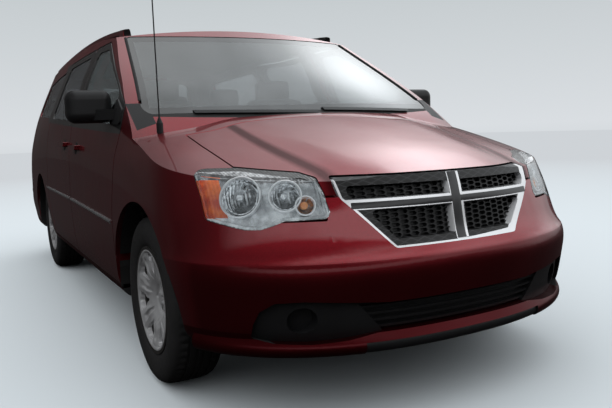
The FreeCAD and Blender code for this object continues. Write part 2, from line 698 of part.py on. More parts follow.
body = body.cut(rear_bumper_zone)
floor_zone = slab(wall - half_width, half_width - wall, firewall_y, tail(0.40), 0, size("floor_height"))
feature("floor_pan", body.common(floor_zone))
body = body.cut(floor_zone)
fender_zone = slab(0, wide, front_end, station(0.132), 0, height(0.70))
# The front wheelhouse's liner hangs from the fender's wall above the tyre.
liner_low = size("kingpin_x") + tower_half
fender = largest(body.common(fender_zone), 1)
liner = disc(wheelhouse_radius + size("liner_wall"), liner_low, wheelhouse_outer + skin,
             front_axle, axle_height)
liner = liner.cut(disc(wheelhouse_radius, liner_low - overrun, wheelhouse_outer + overrun,
                       front_axle, axle_height))
liner = liner.common(slab(0, wide, station(-0.128) + gap, firewall_front - skin, axle_height, top))
feature("fenders", both(fender.fuse(liner.common(hull(skin, skin)))))
# Side frame: pillars and rails, with the post behind both doors and the rear wheelhouse.
post_y = station(0.497)
post = slab(0, wide, post_y - size("post_half"), post_y + size("post_half"), size("floor_height"), top)
post = post.common(hull(wall + gap, upper_wall + gap)).common(under_roof(size("roof_wall")))
post = post.cut(hull(wall + gap + size("post_wall"), upper_wall + gap + size("post_wall")))
house_inner = size("rear_wheelhouse_inner")
house_low = house_inner - size("liner_wall")
house_wall = size("wheelhouse_wall")
house = disc(arch_radius + house_wall, house_low, half_width - wall + skin, rear_axle, axle_height)
house = house.cut(disc(arch_radius, house_inner, wide, rear_axle, axle_height))
house = house.common(slab(0, wide, front_end, back_end, size("floor_height"), top))
side_frame = largest(body.common(left_side).cut(fender_zone), 1)
# A roof rail stands on three feet along the side frame's top.
rail_ends = (station(0.375), station(1.20))
rail_low = size("roof_seam") + size("seal_step") / 2
rail_wide = size("rail_width")
rail_plan = slab(rail_low, rail_low + rail_wide, rail_ends[0], rail_ends[1], height(0.90), top)
rail = rail_plan.common(under_roof(-size("rail_rise"))).cut(under_roof(-size("rail_lift")))
for foot_y in (rail_ends[0], (rail_ends[0] + rail_ends[1]) / 2, rail_ends[1] - rail_wide * 3):
    foot = slab(rail_low, rail_low + rail_wide, foot_y, foot_y + rail_wide * 3, height(0.90), top)
    rail = rail.fuse(foot.common(under_roof(-size("rail_rise"))).cut(under_roof(skin / 2)))
side = feature("side_frame_left", side_frame.fuse(house).fuse(post).fuse(rail))
mirrored("side_frame_right", side)


# Mechanical pieces are built from objects whose sizes follow the sheet.
class Dim:
    """A length that carries its sheet formula and its value."""

    def __init__(self, text, value):
        self.text = text
        self.value = value

    def __add__(self, other):
        other = dim(other)
        return Dim("(%s + %s)" % (self.text, other.text), self.value + other.value)

    def __sub__(self, other):
        other = dim(other)
        return Dim("(%s - %s)" % (self.text, other.text), self.value - other.value)

    def __mul__(self, share):
        return Dim("(%s * %.6g)" % (self.text, share), self.value * share)

    def __neg__(self):
        return Dim("(0 - %s)" % self.text, -self.value)

    __radd__ = __add__
    __rmul__ = __mul__


def dim(item):
    if isinstance(item, Dim):
        return item
    if isinstance(item, str):
        return Dim("sizes." + item, size(item))
    return Dim("%.6g" % item, float(item))


front = dim("front_overhang") - dim("overall_length") * 0.5
rear = front + dim("wheelbase")
axle_z = dim("tyre_radius")
seat_gap = dim("seat_gap")


def bind(item, **lengths):
    for prop, length in lengths.items():
        item.setExpression(prop, dim(length).text)
    return item


def place(item, x, y, z):
    for axis, length in zip("xyz", (x, y, z)):
        item.setExpression("Placement.Base." + axis, dim(length).text)
    return item


def box(label, x, y, z):
    item = doc.addObject("Part::Box", label)
    bind(item, Length=x[1] - x[0], Width=y[1] - y[0], Height=z[1] - z[0])
    return place(item, x[0], y[0], z[0])


turns = {"x": Rotation(Vector(0, 1, 0), 90), "y": Rotation(Vector(1, 0, 0), -90), "z": Rotation()}


def rod(label, radius, along, start, length):
    item = doc.addObject("Part::Cylinder", label)
    bind(item, Radius=radius, Height=length)
    item.Placement.Rotation = turns[along]
    return place(item, *start)


def join(label, pieces):
    item = doc.addObject("Part::MultiFuse", label)
    item.Shapes = pieces
    return item


def node(item, name):
    item.Label = name
    nodes[name] = item
    return item


def plane_of(body, role):
    for origin_feature in body.Origin.OriginFeatures:
        if origin_feature.Role == role:
            return origin_feature
    raise RuntimeError(role)


def profile(body, name, role, points):
    """A closed sketch of straight sides, each corner held by the sheet."""
    sketch = body.newObject("Sketcher::SketchObject", name)
    sketch.AttachmentSupport = [(plane_of(body, role), "")]
    sketch.MapMode = "FlatFace"
    corners = [(dim(a), dim(b)) for a, b in points]
    count = len(corners)
    for i in range(count):
        first, second = corners[i], corners[(i + 1) % count]
        start = Vector(first[0].value, first[1].value, 0)
        sketch.addGeometry(Part.LineSegment(start, Vector(second[0].value, second[1].value, 0)), False)
    for i in range(count):
        sketch.addConstraint(Sketcher.Constraint("Coincident", i, 2, (i + 1) % count, 1))
    for i, corner_dims in enumerate(corners):
        for kind, target, length in (("DistanceX", -2, corner_dims[0]), ("DistanceY", -1, corner_dims[1])):
            if length.value == 0:
                sketch.addConstraint(Sketcher.Constraint("PointOnObject", i, 1, target))
            else:
                index = sketch.addConstraint(Sketcher.Constraint(kind, -1, 1, i, 1, length.value))
                sketch.setExpression("Constraints[%d]" % index, length.text)
    return sketch


def revolve(body, name, sketch, axis):
    turn = body.newObject("PartDesign::Revolution", name)
    turn.Profile = sketch
    turn.ReferenceAxis = (sketch, [axis])
    turn.Angle = 360
    body.Tip = turn
    return turn


# Wheels and tyres. The sketch's first axis runs outboard along the axle, its second is the radius.
rim = dim("rim_radius")
rim_half = dim("rim_width") * 0.5
rim_wall = dim("rim_wall")
hub = dim("hub_radius")
tyre_half = dim("tyre_width") * 0.5
tread = dim("tyre_radius")
rim_section = [
    (rim_half, rim), (rim_half, rim - rim_wall),
    (rim_half * 0.75, rim - rim_wall), (rim_half * 0.65, rim - rim_wall * 3),
    (-rim_half * 0.65, rim - rim_wall * 3), (-rim_half * 0.75, rim - rim_wall), (-rim_half, rim - rim_wall),
    (-rim_half, rim), (-rim_half - rim_wall * 0.7, rim),
    (-rim_half - rim_wall * 0.7, rim - rim_wall * 1.6),
    (-rim_half * 0.8, rim - rim_wall * 2.2), (-rim_half * 0.7, rim - rim_wall * 4),
    (rim_half * 0.36, rim - rim_wall * 4), (rim_half * 0.48, hub * 1.6),
    (rim_half * 0.25, hub * 1.1),
    (rim_half * 0.25, dim("disc_radius")), (rim_half * 0.25 - dim("disc_wall"), dim("disc_radius")),
    (rim_half * 0.25 - dim("disc_wall"), 0), (rim_half * 0.45, 0), (rim_half * 0.5, hub),
    (rim_half * 0.72, hub * 1.5),
    (rim_half * 0.8, rim - rim_wall * 3), (rim_half + rim_wall * 0.7, rim - rim_wall * 1.6),
    (rim_half + rim_wall * 0.7, rim),
]
slot_top = rim - rim_wall * 5
slot_section = [(-hub * 0.05, hub * 1.7), (hub * 0.05, hub * 1.7),
                (hub * 0.34, slot_top), (-hub * 0.34, slot_top)]
tyre_section = [
    (-rim_half + seat_gap, rim - rim_wall + seat_gap), (rim_half - seat_gap, rim - rim_wall + seat_gap),
    (rim_half - seat_gap, rim + seat_gap), (rim_half + rim_wall, rim + rim_wall),
    (tyre_half, rim + (tread - rim) * 0.35),
    (tyre_half * 0.99, rim + (tread - rim) * 0.65), (tyre_half * 0.9, rim + (tread - rim) * 0.90),
    (tyre_half * 0.78, tread - rim_wall * 0.5), (tyre_half * 0.5, tread), (-tyre_half * 0.5, tread),
    (-tyre_half * 0.78, tread - rim_wall * 0.5), (-tyre_half * 0.9, rim + (tread - rim) * 0.90),
    (-tyre_half * 0.99, rim + (tread - rim) * 0.65), (-tyre_half, rim + (tread - rim) * 0.35),
    (-rim_half - rim_wall, rim + rim_wall), (-rim_half + seat_gap, rim + seat_gap),
]


def wheel(name, x, y):
    """A rim and cover turned about the axle, with slots round the cover, and its tyre."""
    body = doc.addObject("PartDesign::Body", "wheel_" + name)
    revolve(body, "rim_" + name, profile(body, "rim_section_" + name, "XZ_Plane", rim_section), "H_Axis")
    slot_sketch = profile(body, "slot_section_" + name, "YZ_Plane", slot_section)
    bind(slot_sketch, **{"AttachmentOffset.Base.z": rim_half * 0.25})
    slot = body.newObject("PartDesign::Pocket", "slot_" + name)
    slot.Profile = slot_sketch
    slot.Reversed = True
    bind(slot, Length=rim_half)
    slots = body.newObject("PartDesign::PolarPattern", "slots_" + name)
    slots.Originals = [slot]
    slots.Axis = (plane_of(body, "X_Axis"), [""])
    slots.Angle = 360
    slots.Occurrences = int(size("cover_slots"))
    body.Tip = slots
    place(body, x, y, axle_z)
    node(body, "wheel_" + name)
    tyre = doc.addObject("PartDesign::Body", "tyre_" + name)
    tyre_sketch = profile(tyre, "tyre_section_" + name, "XZ_Plane", tyre_section)
    revolve(tyre, "tread_" + name, tyre_sketch, "H_Axis")
    place(tyre, x, y, axle_z)
    node(tyre, "tyre_" + name)


front_x = dim("track_front") * 0.5
rear_x = dim("track_rear") * 0.5
for side_name, sign in (("left", 1), ("right", -1)):
    wheel("front_" + side_name, front_x * sign, front)
    wheel("rear_" + side_name, rear_x * sign, rear)
    if sign < 0:
        for end in ("front_", "rear_"):
            for kind in ("wheel_", "tyre_"):
                nodes[kind + end + side_name].Placement.Rotation = Rotation(Vector(0, 0, 1), 180)

# Steering knuckle with its strut and spring on the steering axis, left side mirrored to the right.
strut = dim("strut_radius")
spring = dim("spring_radius")
king = dim("kingpin_x")
disc_face = front_x + rim_half * 0.25 - dim("disc_wall")
bearing_end = disc_face - dim("running_gap")
strut_top = dim("strut_top")
knuckle_left = join("knuckle_left", [
    rod("bearing_housing", hub * 0.8, "x", (king, front, axle_z), bearing_end - king),
    rod("spindle", strut, "x", (king, front, axle_z), disc_face - seat_gap - king),
    rod("strut_tube", strut, "z", (king, front, axle_z - hub * 1.3), strut_top - axle_z + hub * 1.3),
    rod("spring_coil", spring, "z", (king, front, dim("spring_seat")), dim("spring_length")),
])
node(knuckle_left, "knuckle_left")
mirrored("knuckle_right", knuckle_left)

# Subframe with control arms reaching under the knuckles, engine block, radiator.
arm_z = axle_z - hub * 1.3 - seat_gap
frame_half = dim("subframe_half")
bar = dim("subframe_bar")
radiator_y = front - dim("radiator_place")
frame_y = (radiator_y, front + bar * 3)
frame_z = (arm_z - bar, arm_z)
subframe_pieces = [
    box("subframe_bridge", (-frame_half, frame_half), (front + bar, front + bar * 3), frame_z),
    box("subframe_front", (-frame_half, frame_half), (radiator_y, radiator_y + bar), frame_z),
    box("subframe_left", (frame_half - bar, frame_half), frame_y, frame_z),
    box("subframe_right", (-frame_half, bar - frame_half), frame_y, frame_z),
]
for sign, label in ((1, "left"), (-1, "right")):
    low, high = (frame_half - bar, king + strut) if sign > 0 else (-king - strut, bar - frame_half)
    subframe_pieces.append(box("control_arm_" + label, (low, high),
                               (front - strut, front + strut), (arm_z - rim_wall * 2, arm_z)))
node(join("subframe", subframe_pieces), "subframe")
engine_half = dim("engine_width") * 0.5
engine_y = front - dim("engine_depth") * 0.66
node(box("engine_block", (-engine_half, engine_half), (engine_y, engine_y + dim("engine_depth")),
         (arm_z + seat_gap, arm_z + dim("engine_height"))), "engine")
node(box("radiator_block", (-engine_half, engine_half), (radiator_y, radiator_y + bar),
         (arm_z + seat_gap, arm_z + dim("engine_height"))), "radiator")

# Underbody: exhaust, fuel tank and the rear axle beam.
floor_low = dim("body_height") * 0.168
tube = dim("tube_radius")
exhaust_z = floor_low - tube - seat_gap
node(join("exhaust", [
    rod("exhaust_pipe", tube, "y", (engine_half * 0.4, front + bar * 4, exhaust_z),
        dim("wheelbase") + dim("front_overhang") * 0.7),
    rod("muffler", tube * 2.6, "y",
        (engine_half * 0.4, front + dim("wheelbase") * 0.45, exhaust_z - tube * 1.62),
        dim("wheelbase") * 0.2),
]), "exhaust")
beam = dim("axle_beam_radius")
rear_hub = rear_x + rim_half * 0.25 - dim("disc_wall") - seat_gap
beam_z = exhaust_z - tube - beam - dim("running_gap")
carrier_x = rear_x - tyre_half - dim("running_gap")
axle_pieces = [rod("axle_beam", beam, "x", (-carrier_x, rear, beam_z), carrier_x * 2)]
spindle_length = rear_hub - carrier_x + beam
for label, low, start, spring_x in (("left", carrier_x - beam, carrier_x - beam, carrier_x - beam - bar),
                                    ("right", -carrier_x, -rear_hub, beam - carrier_x + bar)):
    axle_pieces.append(box("hub_carrier_" + label, (low, low + beam), (rear - beam, rear + beam),
                           (beam_z, axle_z + beam)))
    axle_pieces.append(rod("rear_spindle_" + label, beam * 0.8, "x", (start, rear, axle_z), spindle_length))
    axle_pieces.append(rod("rear_spring_" + label, spring * 0.8, "z", (spring_x, rear, beam_z),
                           floor_low - seat_gap - beam_z))
node(join("rear_axle", axle_pieces), "rear_axle")

# Inside: dashboard, steering wheel and seats.
floor_top = dim("floor_height")
cabin_half = dim("half_width") - dim("wall") - dim("running_gap")
dash_y = front + dim("wheelbase") * 0.085
column_tilt = Rotation(Vector(1, 0, 0), -63)
column_axis = column_tilt.multVec(Vector(0, 0, 1))
column_length = dim("column_length")
seat_x = cabin_half * 0.46
wheel_y = front + dim("wheelbase") * 0.275
wheel_z = dim("body_height") * 0.60
column_reach = column_length + seat_gap
column = doc.addObject("Part::Cylinder", "steering_column")
bind(column, Radius=dim("steering_grip") * 1.6, Height=column_length)
column.Placement.Rotation = column_tilt
place(column, seat_x, wheel_y - column_reach * column_axis.y, wheel_z - column_reach * column_axis.z)
cushion = dim("cushion_wall")
back = dim("backrest_wall")
seat_half = dim("seat_width") * 0.5


def extruded(label, x, half, points):
    """A side profile pushed out equally to both sides of a place across the vehicle."""
    body = doc.addObject("PartDesign::Body", label)
    push = body.newObject("PartDesign::Pad", label + "_pad")
    push.Profile = profile(body, label + "_profile", "YZ_Plane", points)
    push.SideType = "Symmetric"
    bind(push, Length=half * 2)
    body.Tip = push
    place(body, x, dim(0), dim(0))
    return body


def seat(label, x, y, half):
    """A seat's side profile: a base, a cushion with a rounded front and a leaning back."""
    low = floor_top + cushion * 1.2
    brow = low + cushion
    crown = brow + dim("backrest_height")
    seat_back = y + seat_half * 2
    return extruded(label, x, half, [
        (y + back, floor_top), (y + back, low), (y + back * 0.2, low), (y, low + cushion * 0.3),
        (y, low + cushion * 0.75), (y + back * 0.35, brow), (seat_back - back * 1.3, brow - cushion * 0.15),
        (seat_back - back * 1.1, brow + cushion), (seat_back - back * 0.7, crown - cushion * 0.3),
        (seat_back - back * 0.55, crown), (seat_back - back * 0.1, crown),
        (seat_back, crown - cushion * 0.3),
        (seat_back - back * 0.3, low), (y + seat_half * 1.7, low), (y + seat_half * 1.7, floor_top)])


front_seat_y = front + dim("wheelbase") * 0.33
middle_seat_y = front + dim("wheelbase") * 0.63
bench_y = front + dim("wheelbase") * 0.96
node(join("front_seats", [seat("front_seat_left", seat_x, front_seat_y, seat_half),
                          seat("front_seat_right", -seat_x, front_seat_y, seat_half)]), "front_seats")
node(join("rear_seats", [seat("middle_seat_left", seat_x, middle_seat_y, seat_half),
                         seat("middle_seat_right", -seat_x, middle_seat_y, seat_half),
                         seat("bench", dim(0), bench_y, cabin_half * 0.66)]), "rear_seats")

# Dashboard: one moulding across the cabin with a sloping face, and the column that comes out of it.
dash_half = cabin_half * 0.88
dash_low = dim("body_height") * 0.46
dash_high = dim("body_height") * 0.62
dash_rise = dash_high - dash_low
dash_deep = dim("dash_depth")
dash_box = extruded("dash_moulding", dim(0), dash_half, [
    (dash_y, dash_low), (dash_y, dash_high - dash_rise * 0.25),
    (dash_y + dash_deep * 0.2, dash_high - dash_rise * 0.03),
    (dash_y + dash_deep * 0.5, dash_high), (dash_y + dash_deep * 0.75, dash_high - dash_rise * 0.1),
    (dash_y + dash_deep * 0.8, dash_high - dash_rise * 0.3),
    (dash_y + dash_deep, dash_high - dash_rise * 0.55),
    (dash_y + dash_deep * 0.85, dash_low)])
node(join("dashboard", [dash_box, column]), "dashboard")

# Steering wheel: a ring and spokes about the column's axis, ahead of the left seat.
grip = dim("steering_grip")
ring = doc.addObject("Part::Torus", "steering_ring")
bind(ring, Radius1="steering_radius", Radius2="steering_grip")
boss = doc.addObject("Part::Cylinder", "steering_boss")
bind(boss, Radius=dim("steering_radius") * 0.32, Height=grip * 3)
spokes = []
spoke_reach = dim("steering_radius") * 0.99
for label, x, y in (("wide", spoke_reach, grip), ("tall", grip, spoke_reach)):
    spoke = doc.addObject("Part::Box", "steering_spoke_" + label)
    bind(spoke, Length=x * 2, Width=y * 2, Height=grip)
    place(spoke, -x, -y, dim(0))
    spokes.append(spoke)
steering_wheel = join("steering_wheel", [ring, boss] + spokes)
steering_wheel.Placement.Rotation = column_tilt
place(steering_wheel, seat_x, wheel_y, wheel_z)
node(steering_wheel, "steering_wheel")

# Door mirrors: a rounded head on a slanting arm from the sail plate at the front door's window corner.
mirror_y = station(0.214)
mirror_z = height(0.6995)
mirror_wide = size("mirror_width")
mirror_tall = size("mirror_height")
mirror_deep = size("mirror_depth")
mirror_x = size("mirror_x")
mirror_head = slab(mirror_x - mirror_wide / 2, mirror_x + mirror_wide / 2, mirror_y - mirror_deep / 2,
                   mirror_y + mirror_deep / 2, mirror_z - mirror_tall / 2, mirror_z + mirror_tall / 2)
mirror_head = mirror_head.makeFillet(size("mirror_round"), mirror_head.Edges)
sail_shares = [(0.140, 0.645), (0.182, 0.648), (0.182, 0.722), (0.140, 0.686)]
arm_points = [Vector(across(0.84), station(sail_shares[0][0])),
              Vector(across(0.84), station(sail_shares[1][0])),
              Vector(mirror_x, mirror_y + mirror_deep * 0.3),
              Vector(mirror_x, mirror_y - mirror_deep * 0.3)]
mirror_arm = prism(arm_points, Vector(0, 0, 1), mirror_z - mirror_tall * 0.42,
                   mirror_z - mirror_tall * 0.1, skin, 0)
sail = side_prism(sail_shares, size("seal_step"), 0).common(upper(-skin))
mirror_body = mirror_head.fuse(mirror_arm).fuse(sail).cut(upper(-size("seat_gap")))
mirror_left = feature("mirror_left", largest(mirror_body, 1))
mirrored("mirror_right", mirror_left)

# Wipers lie along the foot of the windscreen, each an arm and a blade. They and the antenna stand
# on the body moved up by a seating gap.
raised_body = whole.copy()
raised_body.translate(Vector(0, 0, size("seat_gap")))
wiper_shares = [((0.60, 0.660), (0.02, 0.668)), ((-0.02, 0.660), (-0.62, 0.668))]
wiper_face = behind_windscreen(-size("wiper_lift"))
wiper_back = behind_windscreen(-size("seat_gap"))
wipers = []
for (x0, z0), (x1, z1) in wiper_shares:
    rise = Vector(0, 0, size("wiper_wall"))
    points = [Vector(across(x0), 0, height(z0)), Vector(across(x1), 0, height(z1))]
    points += [p + rise for p in points[::-1]]
    blade = prism(points, Vector(0, 1, 0), station(-0.10), station(0.42), size("seal_step") / 4, 0)
    wipers.append(largest(blade.common(wiper_face).cut(wiper_back).cut(raised_body), 1))
feature("wipers", Part.Compound(wipers))

# Fuel tank under the middle of the floor, left of the exhaust.
tank_y = front + dim("wheelbase") * 0.42
node(box("fuel_tank_block", (-frame_half * 1.6, -tube * 2), (tank_y, tank_y + dim("wheelbase") * 0.32),
         (floor_low - dim("tank_height"), floor_low - seat_gap)), "fuel_tank")

# Mast antenna on the right fender.
antenna_x = -across(0.80)
antenna_y = station(0.055)
mast_radius = size("mast_radius")
foot_radius = mast_radius * 5
foot = Part.makeCone(foot_radius, mast_radius, height(0.018), Vector(antenna_x, antenna_y, height(0.642)))
foot = foot.fuse(Part.makeCylinder(foot_radius, height(0.042), Vector(antenna_x, antenna_y, height(0.600))))
foot = largest(foot.cut(raised_body), 1)
mast = Part.makeCylinder(mast_radius, size("mast_length"), Vector(antenna_x, antenna_y, height(0.648)))
feature("antenna", foot.fuse(mast))

doc.recompute()
for name, item in nodes.items():
    state = item.State
    shape = item.Shape
    if "Invalid" in state or "Error" in state or shape.isNull() or not shape.isValid():
        raise RuntimeError(name + " failed: " + str(state))
    print(name, len(shape.Solids), round(shape.Volume / 1e6, 1))
os.makedirs("parts", exist_ok=True)
for name, item in nodes.items():
    item.Shape.exportStep("parts/" + name + ".step")
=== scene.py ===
import math

import bpy
from mathutils import Matrix, Vector
from mathutils.bvhtree import BVHTree


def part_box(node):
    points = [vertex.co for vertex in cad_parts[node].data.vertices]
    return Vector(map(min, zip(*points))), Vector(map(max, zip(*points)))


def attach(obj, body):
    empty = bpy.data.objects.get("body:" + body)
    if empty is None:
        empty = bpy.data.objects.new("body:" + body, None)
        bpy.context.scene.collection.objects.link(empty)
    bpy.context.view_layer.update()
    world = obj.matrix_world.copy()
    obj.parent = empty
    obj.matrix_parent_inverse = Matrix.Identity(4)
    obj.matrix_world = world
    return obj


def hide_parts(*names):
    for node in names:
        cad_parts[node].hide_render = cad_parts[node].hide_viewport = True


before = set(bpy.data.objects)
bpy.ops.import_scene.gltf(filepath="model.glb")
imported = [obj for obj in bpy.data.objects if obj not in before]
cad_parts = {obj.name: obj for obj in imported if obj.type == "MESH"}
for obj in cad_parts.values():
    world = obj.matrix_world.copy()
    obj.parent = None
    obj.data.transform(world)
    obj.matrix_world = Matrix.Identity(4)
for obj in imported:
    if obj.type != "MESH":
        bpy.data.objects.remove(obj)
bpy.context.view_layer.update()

# Studio camera
# It stands ahead of the front right corner, about a metre above the floor,
# and looks back along the vehicle's side.
picture_width = 612
focal_pixels = 656.33
camera_place = Vector((-1.6442, -4.3754, 1.0600))
camera_yaw = 0.4946
camera_pitch = -0.1110
camera_roll = -0.0367
sight = Vector((math.sin(camera_yaw) * math.cos(camera_pitch),
                math.cos(camera_yaw) * math.cos(camera_pitch), math.sin(camera_pitch)))
level_right = sight.cross(Vector((0, 0, 1))).normalized()
level_up = level_right.cross(sight)
camera_right = level_right * math.cos(camera_roll) + level_up * math.sin(camera_roll)
camera_up = level_up * math.cos(camera_roll) - level_right * math.sin(camera_roll)
camera_data = bpy.data.cameras.new("camera")
camera_data.sensor_width = 36
camera_data.lens = focal_pixels / picture_width * camera_data.sensor_width
camera = bpy.data.objects.new("camera", camera_data)
turned = Matrix((camera_right, camera_up, -sight)).transposed().to_4x4()
camera.matrix_world = Matrix.Translation(camera_place) @ turned
bpy.context.scene.collection.objects.link(camera)
bpy.context.scene.camera = camera
bpy.context.scene.view_settings.view_transform = "Standard"


class Wire:
    """A socket of a node tree. Arithmetic on it adds Math nodes, and node adds any other one."""

    def __init__(self, tree, socket=None):
        self.tree = tree
        self.socket = socket

    def node(self, kind, settings=None, inputs=None, output=0):
        added = self.tree.nodes.new(kind)
        for name, value in (settings or {}).items():
            if name == "stops":
                ramp = added.color_ramp.elements
                for index, (place, colour) in enumerate(value):
                    stop = ramp[index] if index < 2 else ramp.new(place)
                    stop.position = place
                    stop.color = colour if len(colour) == 4 else (*colour, 1)
            else:
                setattr(added, name, value)
        for name, value in (inputs or {}).items():
            if isinstance(value, Wire):
                self.tree.links.new(value.socket, added.inputs[name])
            else:
                added.inputs[name].default_value = value
        return Wire(self.tree, added.outputs[output])

    def side(self, output):
        return Wire(self.tree, self.socket.node.outputs[output])

    def split(self):
        across = self.node("ShaderNodeSeparateXYZ", None, {0: self})
        return across, across.side(1), across.side(2)

    def maths(self, operation, first, second=0.0):
        return self.node("ShaderNodeMath", {"operation": operation}, {0: first, 1: second})

    def __add__(self, other):
        return self.maths("ADD", self, other)

    def __sub__(self, other):
        return self.maths("SUBTRACT", self, other)

    def __rsub__(self, other):
        return self.maths("SUBTRACT", other, self)

    def __mul__(self, other):
        return self.maths("MULTIPLY", self, other)

    def __abs__(self):
        return self.maths("ABSOLUTE", self)

    def __gt__(self, other):
        return self.maths("GREATER_THAN", self, other)

    def __lt__(self, other):
        return self.maths("LESS_THAN", self, other)

    __radd__ = __add__
    __rmul__ = __mul__

    def ramp(self, low, high):
        return self.node("ShaderNodeMapRange", None, {"Value": self, "From Min": low, "From Max": high})


# Studio room
# A pale floor keeps the soft shadow. Only the camera, and what it sees through glass, meets the pale
# room: other rays find dark ground, a dim skyline, a bright band before the nose and lit clouds.
world = bpy.data.worlds.new("studio")
bpy.context.scene.world = world
world.use_nodes = True
room = Wire(world.node_tree)
world_out = world.node_tree.nodes["World Output"]
ray = room.node("ShaderNodeLightPath")
sky_place = room.node("ShaderNodeTexCoord", output="Generated")
sky_x, sky_y, sky_up = sky_place.split()
clouds = room.node("ShaderNodeTexNoise", None, {"Vector": sky_place, "Scale": 2.6, "Detail": 3.0})
seen_stops = [(0.44, (0.50, 0.55, 0.57)), (0.50, (0.70, 0.73, 0.76)), (0.60, (0.56, 0.60, 0.62))]
seen = room.node("ShaderNodeValToRGB", {"stops": seen_stops}, {0: sky_up.ramp(-1, 1)})
cloud_stops = [(0.30, (0.03, 0.03, 0.03)), (0.64, (0.05, 0.045, 0.045)), (0.715, (0.20, 0.20, 0.205)),
               (0.75, (0.50, 0.51, 0.52)), (0.775, (0.75, 0.77, 0.78)), (0.86, (0.80, 0.84, 0.87))]
lit = sky_up + sky_x * 0.8 + (clouds - 0.5) * 0.2
lit_clouds = room.node("ShaderNodeValToRGB", {"stops": cloud_stops}, {0: lit.ramp(-1, 1.4)})
sun_direction = (0.61, 0.58, 0.55)
to_sun = room.node("ShaderNodeVectorMath", {"operation": "DOT_PRODUCT"}, {0: sky_place, 1: sun_direction},
                   "Value")
glow = room.maths("POWER", room.maths("MAXIMUM", to_sun, 0.0), 90.0)
cloud_strength = clouds.ramp(0.35, 0.65) * 0.5 + glow * 1.8 + 0.75
cloud_light = room.node("ShaderNodeBackground", None, {"Color": lit_clouds, "Strength": cloud_strength})
band_light = room.node("ShaderNodeBackground", None, {"Color": (0.95, 0.97, 1.0, 1), "Strength": 1.2})
front_band = (sky_y * -1.0).ramp(0.15, 0.75) * (1 - abs(sky_up - 0.32).ramp(0.08, 0.16))
gloss_light = room.node("ShaderNodeMixShader", None, {0: front_band, 1: cloud_light, 2: band_light})
soft_stops = [(0.50, (0.01, 0.01, 0.01)), (0.60, (0.16, 0.165, 0.17)), (0.80, (0.96, 0.98, 1.0))]
soft = room.node("ShaderNodeValToRGB", {"stops": soft_stops}, {0: sky_up.ramp(-1, 1)})
soft_light = room.node("ShaderNodeBackground", None, {"Color": soft, "Strength": 1.7})
glossy = ray.side("Is Glossy Ray")
on_part = room.node("ShaderNodeMixShader", None, {0: glossy, 1: soft_light, 2: gloss_light})
seen_light = room.node("ShaderNodeBackground", None, {"Color": seen, "Strength": 1.0})
straight = room.maths("MAXIMUM", ray, ray.side("Is Transmission Ray"))
room_light = room.node("ShaderNodeMixShader", None, {0: straight, 1: on_part, 2: seen_light})
world.node_tree.links.new(room_light.socket, world_out.inputs["Surface"])

floor_reach = 60
floor_mesh = bpy.data.meshes.new("studio_floor")
floor_mesh.from_pydata([(-floor_reach, -floor_reach, 0), (floor_reach, -floor_reach, 0),
                        (floor_reach, floor_reach, 0), (-floor_reach, floor_reach, 0)], [], [(0, 1, 2, 3)])
floor = bpy.data.objects.new("studio_floor", floor_mesh)
bpy.context.scene.collection.objects.link(floor)
floor_paint = bpy.data.materials.new("studio_floor")
floor_paint.use_nodes = True
floor_tree = Wire(floor_paint.node_tree)
floor_ray = floor_tree.node("ShaderNodeLightPath")
floor_place = floor_tree.node("ShaderNodeTexCoord", output="Object")
distance = floor_tree.node("ShaderNodeVectorMath", {"operation": "LENGTH"}, {0: floor_place}, "Value")
near_floor = floor_tree.node("ShaderNodeBsdfDiffuse", None, {"Color": (0.54, 0.58, 0.60, 1)})
far_wall = floor_tree.node("ShaderNodeEmission", None, {"Color": (0.62, 0.65, 0.68, 1)})
fade = distance.ramp(4.0, 16.0)
pale = floor_tree.node("ShaderNodeMixShader", None, {0: fade, 1: near_floor, 2: far_wall})
ground = floor_tree.node("ShaderNodeBsdfDiffuse", None, {"Color": (0.02, 0.018, 0.018, 1)})
floor_straight = floor_tree.maths("MAXIMUM", floor_ray, floor_ray.side("Is Transmission Ray"))
floor_mix = floor_tree.node("ShaderNodeMixShader", None, {0: floor_straight, 1: ground, 2: pale})
floor_out = floor_paint.node_tree.nodes["Material Output"]
floor_paint.node_tree.links.new(floor_mix.socket, floor_out.inputs["Surface"])
floor_mesh.materials.append(floor_paint)

# Body paint
# Pressed steel panels and moulded bumpers in a deep red metallic paint under clear lacquer, with
# gloss black window frames above the belt line. Wheelhouses and faces that look inwards are trim.
# Painted shade darkens the red low down, at the nose, towards the flanks and along the bonnet's creases.
front_axle = (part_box("tyre_front_left")[0][1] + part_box("tyre_front_left")[1][1]) / 2
rear_axle = (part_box("tyre_rear_left")[0][1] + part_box("tyre_rear_left")[1][1]) / 2
wheelbase = rear_axle - front_axle
half_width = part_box("side_frame_left")[1][0]
body_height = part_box("roof_panel")[1][2]


def station(share):
    return front_axle + share * wheelbase


def height(share):
    return share * body_height


def across(share):
    return share * half_width


belt_height = height(0.606)
belt_slope = 0.095 * body_height / wheelbase
window_top = height(0.93)
ceiling_height = height(0.75)
cabin_front = station(0.08)
cabin_floor = height(0.22)
arch_reach = 0.434
arch_lip = 0.020
arch_edge = across(0.985) - arch_lip
scuttle_edge = station(0.0212)
scuttle_bow = 0.32
shoulder_middle = 0.520
shoulder_core = 0.012
shoulder_half = 0.030
shoulder_spread = 0.020
shoulder_bow = 0.055
bonnet_rear = station(-0.02)
bonnet_run = 0.62
crease_height = height(0.352)
crease_fade = 0.014
corner_start = station(-0.14)
corner_fade = 0.1
sill_height = height(0.207)
flank_shade_start = across(0.78)
flank_shade_end = across(0.93)


def finish(name, **constants):
    """A material, its shader and the place on the part, with what never varies set on the shader."""
    material = bpy.data.materials.new(name)
    material.use_nodes = True
    shader = material.node_tree.nodes["Principled BSDF"]
    for key, value in constants.items():
        shader.inputs[key.replace("_", " ")].default_value = value
    tree = Wire(material.node_tree)
    return material, shader, tree.node("ShaderNodeTexCoord", output="Object")


